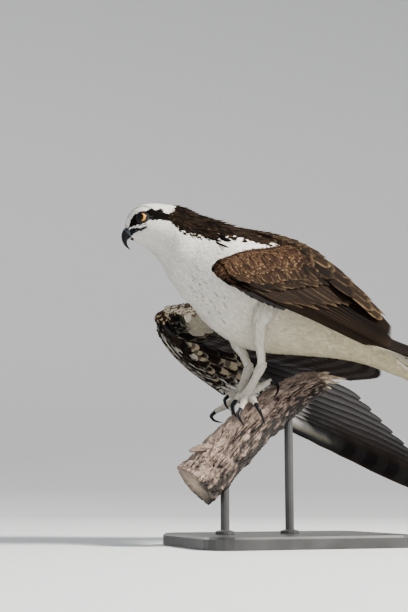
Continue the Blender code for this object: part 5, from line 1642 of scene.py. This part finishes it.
def tint_skin(mesh):
    """Gives the skin the markings of the plumage over it, and an unwrap of its own shape."""
    places, colours, spots = [], [], []
    uu, ww = np.meshgrid(np.linspace(0, 20, 160), np.linspace(-math.pi, math.pi, 97)[:-1], indexing="ij")
    uu, ww = uu.ravel(), ww.ravel()
    places.append(body.point(uu, ww))
    colours.append(body_tint(uu, ww, np.full(len(uu), 0.5)))
    spots.append(body.unwrap(uu, ww))
    for k, word in enumerate(("left", "right")):
        for name in ("arm", "hand"):
            for facing, over in ((1.0, arm_over if name == "arm" else hand_over), (-1.0, arm_under if name == "arm" else hand_under)):
                cell = (0.01 + 0.2 * k, 0.46, 0.19 + 0.2 * k, 0.52)
                sheet = Sheet(word, name, facing, over, cell)
                share, v = np.meshgrid(np.linspace(0.0, 1.3, 20), np.linspace(-0.2, 1.0, 40), indexing="ij")
                share, v = share.ravel(), v.ravel()
                back = share * sheet.arm(v)
                places.append(sheet.point(back, v))
                luck = np.full(len(v), 0.5)
                if facing > 0:
                    base = upper_tint(v, back, luck)[0]
                elif name == "arm":
                    base = under_arm_tint(v, back, sheet.arm(v), luck)
                else:
                    base = under_hand_tint(v, back, sheet.arm(v), luck)
                colours.append(base)
                spots.append(sheet.unwrap(back, v))
        strip = Shoulder(WINGS[word]["side"], (0.62 + 0.1 * k, 0.46, 0.70 + 0.1 * k, 0.52))
        u, w = np.meshgrid(np.linspace(0.0, 0.15, 24), np.linspace(0.0, 1.3, 14), indexing="ij")
        u, w = u.ravel(), w.ravel()
        places.append(strip.point(u, w))
        colours.append(constant(BROWN, len(u)))
        spots.append(strip.unwrap(u, w))
        tube = thigh_tube(word, (0.42 + 0.1 * k, 0.46, 0.50 + 0.1 * k, 0.52))
        u, w = np.meshgrid(np.linspace(0, 1, 20), np.linspace(-math.pi, math.pi, 17)[:-1], indexing="ij")
        u, w = u.ravel(), w.ravel()
        places.append(tube.point(u, w))
        colours.append(constant(WHITE, len(u)))
        spots.append(tube.unwrap(u, w))
    places, colours, spots = np.vstack(places) + BIRD_AT, np.vstack(colours), np.vstack(spots)
    tree = kdtree.KDTree(len(places))
    for i, p in enumerate(places):
        tree.insert(p, i)
    tree.balance()
    near = np.array([tree.find(v.co)[1] for v in mesh.vertices])
    layer = mesh.color_attributes.new("tint", "FLOAT_COLOR", "POINT")
    data = np.ones((len(near), 4), np.float32)
    # Darker than the plumage over it: painted shade deep under the feathers.
    data[:, :3] = colours[near] * 0.55
    layer.data.foreach_set("color", data.ravel())
    loops = np.empty(len(mesh.loops), np.int32)
    mesh.loops.foreach_get("vertex_index", loops)
    bake = mesh.uv_layers.new(name="OFBake")
    bake.data.foreach_set("uv", spots[near][loops].astype(np.float32).ravel())


# Eyes, lids and bill

def eye_piece(word, side):
    """A fine eyeball whose tint tells how far each point is off the gaze."""
    centre = eye_centre(side)
    gaze = unit(turned((-0.66, side * 0.75, -0.02)) - turned((0, 0, 0)))
    n_ring, n_side = 48, 64
    share = np.linspace(0.0, math.pi, n_ring)
    across = unit(np.cross(gaze, (0, 0, 1)))
    high = np.cross(across, gaze)
    angle = 2 * math.pi * np.arange(n_side) / n_side
    tt, aa = np.meshgrid(np.maximum(share, 0.001), angle, indexing="ij")
    bulge = 1.0 + 0.035 * np.exp(-(tt / 0.55) ** 2)
    direction = (
        gaze * np.cos(tt)[..., None]
        + across * (np.sin(tt) * np.cos(aa))[..., None]
        + high * (np.sin(tt) * np.sin(aa))[..., None]
    )
    points = centre + direction * (EYE_RADIUS * bulge)[..., None] * 0.992
    points, faces = close_rings(points)
    off = np.arccos(np.clip(unit(points - centre) @ gaze, -1, 1)) / math.pi * 1.6
    tints = np.stack([off, off, off], 1)
    eye = make_object("eye_ball_" + word, points, faces, LOOK["eye"], tints, sharp=0)
    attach(eye, "root")
    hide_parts("eye_" + word)
    return eye


def lid_piece(word, side):
    """The bare lid round the eye: an oval rim, thicker above, drawn to a point in front and behind."""
    centre = turned((EYE_AT[0], side * EYE_AT[1], EYE_AT[2]))
    out = unit(turned((-0.30, side * 0.95, 0.02)) - turned((0, 0, 0)))
    across = unit(np.cross(out, (0, 0, 1)))
    high = unit(np.cross(across, out))
    turns, sides = 96, 14
    a = 2 * math.pi * np.arange(turns) / turns
    b = 2 * math.pi * np.arange(sides) / sides
    aa, bb = np.meshgrid(a, b, indexing="ij")
    corner = np.abs(np.cos(aa)) ** 6
    reach = 0.00640 + 0.0009 * corner
    squint = np.where(np.sin(aa) > 0, 0.84, 0.95)
    off_axis = reach * np.hypot(np.cos(aa), np.sin(aa) * squint)
    rise = np.sqrt(np.maximum((EYE_RADIUS * 1.01) ** 2 - off_axis ** 2, 0)) + 0.0003
    thick = 0.00105 - 0.0003 * corner + 0.0003 * (np.sin(aa) > 0) * np.abs(np.sin(aa))
    folds = 1 + 0.10 * np.sin(aa * 23) * (np.cos(bb) > 0)
    radial = across * np.cos(aa)[..., None] + high * (np.sin(aa) * squint)[..., None]
    points = (
        centre
        + radial * (reach + thick * folds * np.cos(bb))[..., None]
        + out * (rise + thick * 0.8 * np.sin(bb) - 0.35 * thick)[..., None]
    )
    rings = points.reshape(-1, 3)
    faces = []
    for i in range(turns):
        for j in range(sides):
            p = i * sides + j
            q = i * sides + (j + 1) % sides
            r = ((i + 1) % turns) * sides + (j + 1) % sides
            t = ((i + 1) % turns) * sides + j
            faces += [(p, q, r), (p, r, t)]
    faces = np.array(faces)
    if signed_volume(rings, faces) < 0:
        faces = faces[:, ::-1]
    dark = constant((0.012, 0.012, 0.015), len(rings))
    lid = make_object("lid_" + word, rings, faces, LOOK["lid"], dark, sharp=0)
    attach(lid, "root")
    return lid


BILL_UPPER_ROWS = [
    (-0.1060, 0.1065, -0.0960, 0.0962, 0.0085),
    (-0.1125, 0.1045, -0.1025, 0.0925, 0.0082),
    (-0.1157, 0.0990, -0.1058, 0.0897, 0.0070),
    (-0.1165, 0.0925, -0.1082, 0.0872, 0.0054),
    (-0.1150, 0.0855, -0.1086, 0.0840, 0.0040),
    (-0.1118, 0.0798, -0.1078, 0.0808, 0.0026),
    (-0.1080, 0.0764, -0.1062, 0.0778, 0.0014),
    (-0.1043, 0.0740, -0.1039, 0.0744, 0.0004),
]
BILL_LOWER_ROWS = [
    (-0.0920, 0.0980, -0.0905, 0.0865, 0.0078),
    (-0.0975, 0.0944, -0.0960, 0.0868, 0.0068),
    (-0.1020, 0.0912, -0.1003, 0.0875, 0.0050),
    (-0.1045, 0.0890, -0.1035, 0.0880, 0.0022),
]
CERE = np.array((0.055, 0.063, 0.075))
HORN = np.array((0.006, 0.006, 0.008))


def bill_piece(name, rows, steps, sides, upper):
    t = np.linspace(0.0, len(rows) - 1.0, steps)
    angle = 2 * math.pi * np.arange(sides) / sides
    tt, aa = np.meshgrid(t, angle, indexing="ij")
    values = spline(rows, tt)
    tx, tz, bx, bz, half = [values[..., k] for k in range(5)]
    half = np.maximum(half, 0.0003)
    c, s = np.cos(aa), np.sin(aa)
    pinch = 1 - 0.10 * np.abs(c) ** 3 * (c > 0) if upper else 1.0
    x = (tx + bx) / 2 + (tx - bx) / 2 * c
    z = (tz + bz) / 2 + (tz - bz) / 2 * c
    y = half * s * pinch
    if upper:
        cere = smooth((1.55 - tt) / 0.25)
        nostril = np.exp(-((tt - 1.05) / 0.16) ** 2 - ((np.abs(np.degrees(np.arctan2(s, c))) - 62) / 16) ** 2)
        y = y * (1 + 0.05 * cere) - np.sign(s) * 0.0022 * nostril
        edge = np.exp(-((c + 0.80) / 0.16) ** 2) * (c < 0)
        y = y * (1 + 0.10 * edge)
    points = turned(np.stack([x, y, z], -1))
    points, faces = close_rings(points)
    if upper:
        share = np.concatenate([smooth((1.62 - tt) / 0.22).ravel(), [1.0, 0.0]])
        # The nostril's recess is painted near black: painted shade inside the hole.
        nostril_shade = np.concatenate([nostril.ravel(), [0.0, 0.0]])
        tints = mix(constant(HORN, len(points)), CERE, share)
        tints = mix(tints, BLACK * 0.3, smooth((nostril_shade - 0.35) / 0.3))
    else:
        share = np.concatenate([smooth((1.0 - tt) / 0.6).ravel(), [1.0, 0.0]])
        tints = mix(constant(HORN, len(points)), CERE * 0.8, share)
    bill = make_object(name, points, faces, LOOK["horn"], tints, sharp=0)
    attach(bill, "root")
    return bill


def gape_piece(word, side):
    """The soft corner of the mouth, one thin dark tube that tapers back from the bill."""
    line = gape_line(side)
    points, faces = tube_mesh(line, [(0.0011,), (0.0009,), (0.0003,)], 10, (0, 0, 1), 14)
    gape = make_object("gape_" + word, points, faces, LOOK["lid"], constant((0.016, 0.017, 0.020), len(points)), sharp=0)
    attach(gape, "root")
    return gape


# Feet

LEG_PALE = np.array((0.62, 0.57, 0.48))
LEG_GREY = np.array((0.34, 0.32, 0.28))


def scute_swell(rows, depth):
    """Raised plates across the top of a toe or shank, and small round scales elsewhere."""
    def swell(u, w):
        saw = (u * rows) % 1.0
        plate = smooth(saw / 0.25) * (1 - 0.5 * saw)
        front = smooth((np.sin(w) + 0.25) / 0.6)
        beads = 0.5 + 0.5 * np.sin(u * rows * 2 * math.pi * 2) * np.sin(w * 9)
        return depth * (plate * front + 0.8 * beads * (1 - front))
    return swell


def foot_pieces(word):
    leg = LEGS[word]
    ankle, pad = np.array(leg["ankle"]), np.array(leg["pad"])
    low = pad + np.array((-0.001, 0.0, -0.006))
    path = [ankle + (pad - ankle) * s for s in SHANK_PLACES] + [low]
    radii = [(r - 0.0003,) for r in SHANK_RADII]
    parts = [(path, radii, (1, 0, 0), 22, 40, 60)]
    for key in ("back", "inner", "middle", "outer"):
        path = [tuple(pad)] + leg["toes"][key]
        steps = 6
        toe = []
        for i in range(steps):
            s = i / (steps - 1)
            pads = 0.00055 * math.cos(2 * math.pi * 2.5 * s)
            toe.append((TOE_RADIUS * (1.0 - 0.22 * s) - pads - 0.0003,))
        toe[-1] = (TOE_RADIUS * 0.62,)
        parts.append((path, toe, (0.1, 0, 1), 13, 32, 44))
    points, faces, count = [], [], 0
    for path, radii, up, rows, sides, steps in parts:
        p, f = tube_mesh(path, radii, sides, up, steps, scute_swell(rows, 0.00032))
        points.append(p)
        faces.append(f + count)
        count += len(p)
    points, faces = np.vstack(points), np.vstack(faces)
    grey = np.clip(0.5 + 0.5 * hash_noise(points, 260.0), 0, 1)
    tints = mix(constant(LEG_PALE, len(points)), LEG_GREY, 0.5 * grey)
    foot = make_object("foot_" + word, points, faces, LOOK["leg"], tints, sharp=40)
    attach(foot, "root")
    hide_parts("leg_" + word + "_tarsus", *["toe_%s_%d" % (word, k) for k in (1, 2, 3, 4)])
    points, faces, count = [], [], 0
    for key in ("back", "inner", "middle", "outer"):
        toe = np.array([tuple(pad)] + leg["toes"][key])
        claw = spline(leg["claws"][key], np.linspace(0, 3, 6))
        claw[0] = toe[-1] - unit(toe[-1] - toe[-2]) * 0.003
        radii = [(CLAW_RADIUS * (1.0 - 0.15 * i),) for i in range(5)] + [(0.0003,)]

        def groove(u, w):
            return -0.00022 * np.exp(-((np.abs(np.sin(w)) - 0.0) / 0.25) ** 2) * (u < 0.85)

        p, f = tube_mesh(claw, radii, 24, (0, 1, 0.1), 40, groove)
        points.append(p)
        faces.append(f + count)
        count += len(p)
    points, faces = np.vstack(points), np.vstack(faces)
    tints = constant(HORN, len(points)) * (0.9 + 0.5 * np.clip(hash_noise(points, 400.0), 0, 1))[:, None]
    claws = make_object("claws_" + word, points, faces, LOOK["horn"], tints, sharp=0)
    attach(claws, "root")
    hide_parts(*["claw_%s_%d" % (word, k) for k in (1, 2, 3, 4)])
    return foot, claws


# Branch

BRANCH_ROWS = [
    (-0.0130, 0.0, -0.2440, 0.0330),
    (0.0100, 0.0, -0.2240, 0.0325),
    (0.0330, 0.0, -0.2000, 0.0315),
    (0.0580, 0.0, -0.1750, 0.0300),
    (0.0865, 0.0, -0.1505, 0.0290),
    (0.1100, 0.0, -0.1325, 0.0270),
    (0.1350, 0.0, -0.1160, 0.0240),
    (0.1580, 0.0, -0.1060, 0.0205),
    (0.1760, 0.0, -0.1000, 0.0150),
]
SNAG_PATH = [
    (0.0200, -0.0100, -0.2030),
    (0.0040, -0.0125, -0.1955),
    (-0.0110, -0.0130, -0.1955),
    (-0.0250, -0.0130, -0.1995),
]
SNAG_RADII = [(0.0095,), (0.0065,), (0.0048,), (0.0022,)]
SPLINTERS = [
    (-0.006, -0.0930, 0.2130, -0.001, 0.0042),
    (0.004, -0.0960, 0.2020, -0.004, 0.0036),
    (0.009, -0.0890, 0.1930, 0.003, 0.0034),
    (-0.011, -0.0985, 0.1960, -0.003, 0.0028),
    (-0.001, -0.0870, 0.1900, 0.002, 0.0026),
    (0.000, -0.1050, 0.1930, -0.003, 0.0028),
    (0.007, -0.1040, 0.1880, -0.004, 0.0024),
    (-0.004, -0.1000, 0.2040, 0.001, 0.0022),
]
BARK = np.array((0.150, 0.100, 0.074))
BARK_SHADE_AND_CRACK = np.array((0.014, 0.010, 0.008))
BARK_PALE = np.array((0.33, 0.245, 0.195))
SPLIT_WOOD = np.array((0.58, 0.46, 0.33))


def branch_mesh():
    rings, sides = 260, 210
    t = np.linspace(0.0, len(BRANCH_ROWS) - 1.0, rings)
    rows = spline(BRANCH_ROWS, t)
    ahead = spline(BRANCH_ROWS, np.minimum(t + 0.05, len(BRANCH_ROWS) - 1.0))[:, :3]
    behind = spline(BRANCH_ROWS, np.maximum(t - 0.05, 0.0))[:, :3]
    along = unit(ahead - behind)
    side = np.array((0.0, 1.0, 0.0))
    high = np.cross(along, side)
    high = unit(np.where(high[:, 2:] < 0, -high, high))
    angle = 2 * math.pi * np.arange(sides) / sides
    tt, aa = np.meshgrid(t, angle, indexing="ij")
    flutes = 0.0012 * np.sin(3 * aa + 0.9 * tt) + 0.0008 * np.sin(5 * aa - 1.7 * tt)
    lumps = np.array([
        noise.noise(Vector((math.cos(a) * 1.3, math.sin(a) * 1.3, q * 0.9))) * 0.0022
        for q, a in zip(tt.ravel(), aa.ravel())
    ]).reshape(tt.shape)
    flakes = np.array([
        noise.noise(Vector((math.cos(a) * 5.0, math.sin(a) * 5.0, q * 2.4)))
        + 0.5 * noise.noise(Vector((math.cos(a) * 13.0, math.sin(a) * 13.0, q * 6.0)))
        for q, a in zip(tt.ravel(), aa.ravel())
    ]).reshape(tt.shape)
    grooves = np.array([
        noise.noise(Vector((math.cos(a) * 7.0, math.sin(a) * 7.0, q * 0.9 + 11.0)))
        for q, a in zip(tt.ravel(), aa.ravel())
    ]).reshape(tt.shape)
    crack = np.exp(-(grooves / 0.07) ** 2)
    step = np.floor(flakes * 3.0) / 3.0
    peel = 0.0024 * step + 0.0007 * flakes - 0.0026 * crack
    r = rows[:, 3][:, None] + flutes + lumps + peel - 0.0004
    points = (
        rows[:, None, :3]
        + high[:, None, :] * (r * np.cos(aa))[..., None]
        + side * (r * np.sin(aa))[..., None]
    )
    p, f = close_rings(points)
    up = np.concatenate([np.cos(aa).ravel(), [0.0, 0.0]])
    level = np.concatenate([(step + 0.3 - 1.3 * crack).ravel(), [0.0, 0.0]])
    ends = np.zeros(len(p), bool)
    ends[-2:] = True
    # The top is paler, partly weathering and partly painted light, and the underside darker as painted shade. Raised
    # flakes are paler and cracks darker.
    tints = mix(constant(BARK, len(p)), BARK_PALE, smooth(up * 0.7 + 0.15 + level * 0.9))
    tints = mix(tints, BARK_SHADE_AND_CRACK, smooth(-up * 1.5 + 0.30 - level * 1.5))
    tints[ends] = SPLIT_WOOD
    return p, f, tints


def perch_pieces():
    points, faces, tints = branch_mesh()
    points, faces, tints = [points], [faces], [tints]
    count = len(points[0])
    for y, z, x_end, rise, thick in SPLINTERS:
        path = [(0.158, y, z - 0.007), (0.180, y, z), (x_end, y * 1.2, z + rise)]
        p, f = tube_mesh(path, [(thick * 1.3,), (thick * 0.95,), (0.0004,)], 12, (0, 0, 1), 22,
                         lambda u, w: 0.0004 * np.sin(w * 3 + u * 5))
        points.append(p)
        faces.append(f + count)
        tints.append(mix(constant(SPLIT_WOOD, len(p)), BARK, np.clip(0.4 + 0.8 * hash_noise(p, 130.0), 0, 1)))
        count += len(p)
    branch = make_object("branch_bark", np.vstack(points), np.vstack(faces), LOOK["bark"], np.vstack(tints), sharp=35)
    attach(branch, "root")
    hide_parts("branch")
    p, f = tube_mesh(SNAG_PATH, SNAG_RADII, 32, (0, 0, 1), 44,
                     lambda u, w: 0.0004 * np.sin(w * 5 + u * 9) + 0.0003 * np.sin(w * 2 - u * 31) - 0.0003)
    snag = make_object("snag_bark", p, f, LOOK["bark"], mix(constant(BARK, len(p)), BARK_PALE, 0.4 + 0 * p[:, 0]), sharp=35)
    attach(snag, "root")
    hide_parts("branch_snag")


# Building

def build():
    skin = skin_piece()
    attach(skin, "root")
    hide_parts("head", "neck", "torso", "tail", "wing_left", "wing_right", "leg_left_thigh", "leg_right_thigh")
    for name, start, end in (
        ("coat_face", 0.12, 3.4), ("coat_crown", 3.4, 6.0), ("coat_neck", 6.0, 8.6), ("coat_throat", 8.6, 10.4),
        ("coat_breast", 10.4, 12.2), ("coat_flank", 12.2, 14.6), ("coat_belly", 14.6, 19.6),
    ):
        coat_object(name, body_coat(start, end), LOOK["white"])
    coat_object("coat_nape", hackles(), LOOK["brown"])
    for k, word in enumerate(("left", "right")):
        flight, upper, under = wing_coats(word, 0.54 + 0.13 * k)
        coat_object("flight_feathers_" + word, flight, LOOK["flight"])
        coat_object("upper_coverts_" + word, upper, LOOK["brown"])
        coat_object("under_coverts_" + word, under, LOOK["brown"])
        side = WINGS[word]["side"]
        coat = shoulder_coat(side, (0.62 + 0.18 * k, 0.93, 0.78 + 0.18 * k, 0.99))
        coat_object("scapulars_" + word, coat, LOOK["brown"])
        coat_object("coat_thigh_" + word, leg_coat(word, (0.01 + 0.3 * k, 0.82, 0.28 + 0.3 * k, 0.91)), LOOK["white"])
        eye_piece(word, side)
        lid_piece(word, side)
        gape_piece(word, side)
        foot_pieces(word)
    coat_object("tail_feathers", tail_coat(), LOOK["tail"])
    upper = bill_piece("bill_upper_horn", BILL_UPPER_ROWS, 90, 64, True)
    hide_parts("bill_upper")
    lower = bill_piece("bill_lower_horn", BILL_LOWER_ROWS, 40, 48, False)
    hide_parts("bill_lower")
    perch_pieces()
    for name in ("stand_base", "stand_rod_front", "stand_rod_back"):
        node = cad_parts[name]
        node.data.materials.clear()
        node.data.materials.append(LOOK["stand"])


def backdrop():
    """A round pale floor that curves up far behind, all one surface."""
    profile = [(0.0, 0.0), (1.2, 0.0), (2.4, 0.0), (3.4, 0.10), (4.2, 0.45), (4.8, 1.1), (5.1, 2.2), (5.2, 4.5)]
    sides = 96
    points, faces = [], []
    for r, z in profile:
        for j in range(sides):
            a = 2 * math.pi * j / sides
            points.append((r * math.cos(a), r * math.sin(a), z - 0.0005))
    for i in range(len(profile) - 1):
        for j in range(sides):
            a, b = i * sides + j, i * sides + (j + 1) % sides
            faces.append((a, b, b + sides, a + sides))
    mesh = bpy.data.meshes.new("studio_floor")
    mesh.from_pydata(points, [], faces)
    mesh.shade_smooth()
    mesh.materials.append(LOOK["floor"])
    floor = bpy.data.objects.new("studio_floor", mesh)
    bpy.context.scene.collection.objects.link(floor)


def area_light(name, at, target, size, power, colour):
    light = bpy.data.lights.new(name, "AREA")
    light.shape = "DISK"
    light.size = size
    light.energy = power
    light.color = colour
    obj = bpy.data.objects.new(name, light)
    obj.location = at
    obj.rotation_euler = (Vector(target) - Vector(at)).to_track_quat("-Z", "Y").to_euler()
    bpy.context.scene.collection.objects.link(obj)


def camera_and_light():
    azimuth, elevation, distance = math.radians(-20.0), math.radians(-10.0), 1.5
    back = Vector((
        math.sin(azimuth) * math.cos(elevation),
        -math.cos(azimuth) * math.cos(elevation),
        math.sin(elevation),
    ))
    target = Vector(BIRD_AT)
    camera = bpy.data.objects.new("camera", bpy.data.cameras.new("camera"))
    camera.location = target + back * distance
    camera.rotation_euler = (-back).to_track_quat("-Z", "Y").to_euler()
    camera.data.lens = 36.0 * 1086.96 / 612.0
    camera.data.sensor_width = 36.0
    camera.data.clip_start = 0.01
    bpy.context.scene.collection.objects.link(camera)
    bpy.context.scene.camera = camera
    middle = tuple(BIRD_AT)
    area_light("key", (1.6, -1.9, 2.0), middle, 0.7, 430.0, (1.0, 0.96, 0.90))
    area_light("fill", (-2.2, -1.8, 1.2), middle, 2.0, 22.0, (0.88, 0.93, 1.0))
    area_light("back_light", (-0.6, 2.4, 2.0), middle, 1.6, 42.0, (1.0, 0.98, 0.95))
    world = bpy.data.worlds.new("studio_air")
    world.use_nodes = True
    sky = world.node_tree.nodes["Background"]
    sky.inputs["Color"].default_value = (0.72, 0.80, 0.92, 1.0)
    sky.inputs["Strength"].default_value = 0.28
    bpy.context.scene.world = world


build()
backdrop()
camera_and_light()
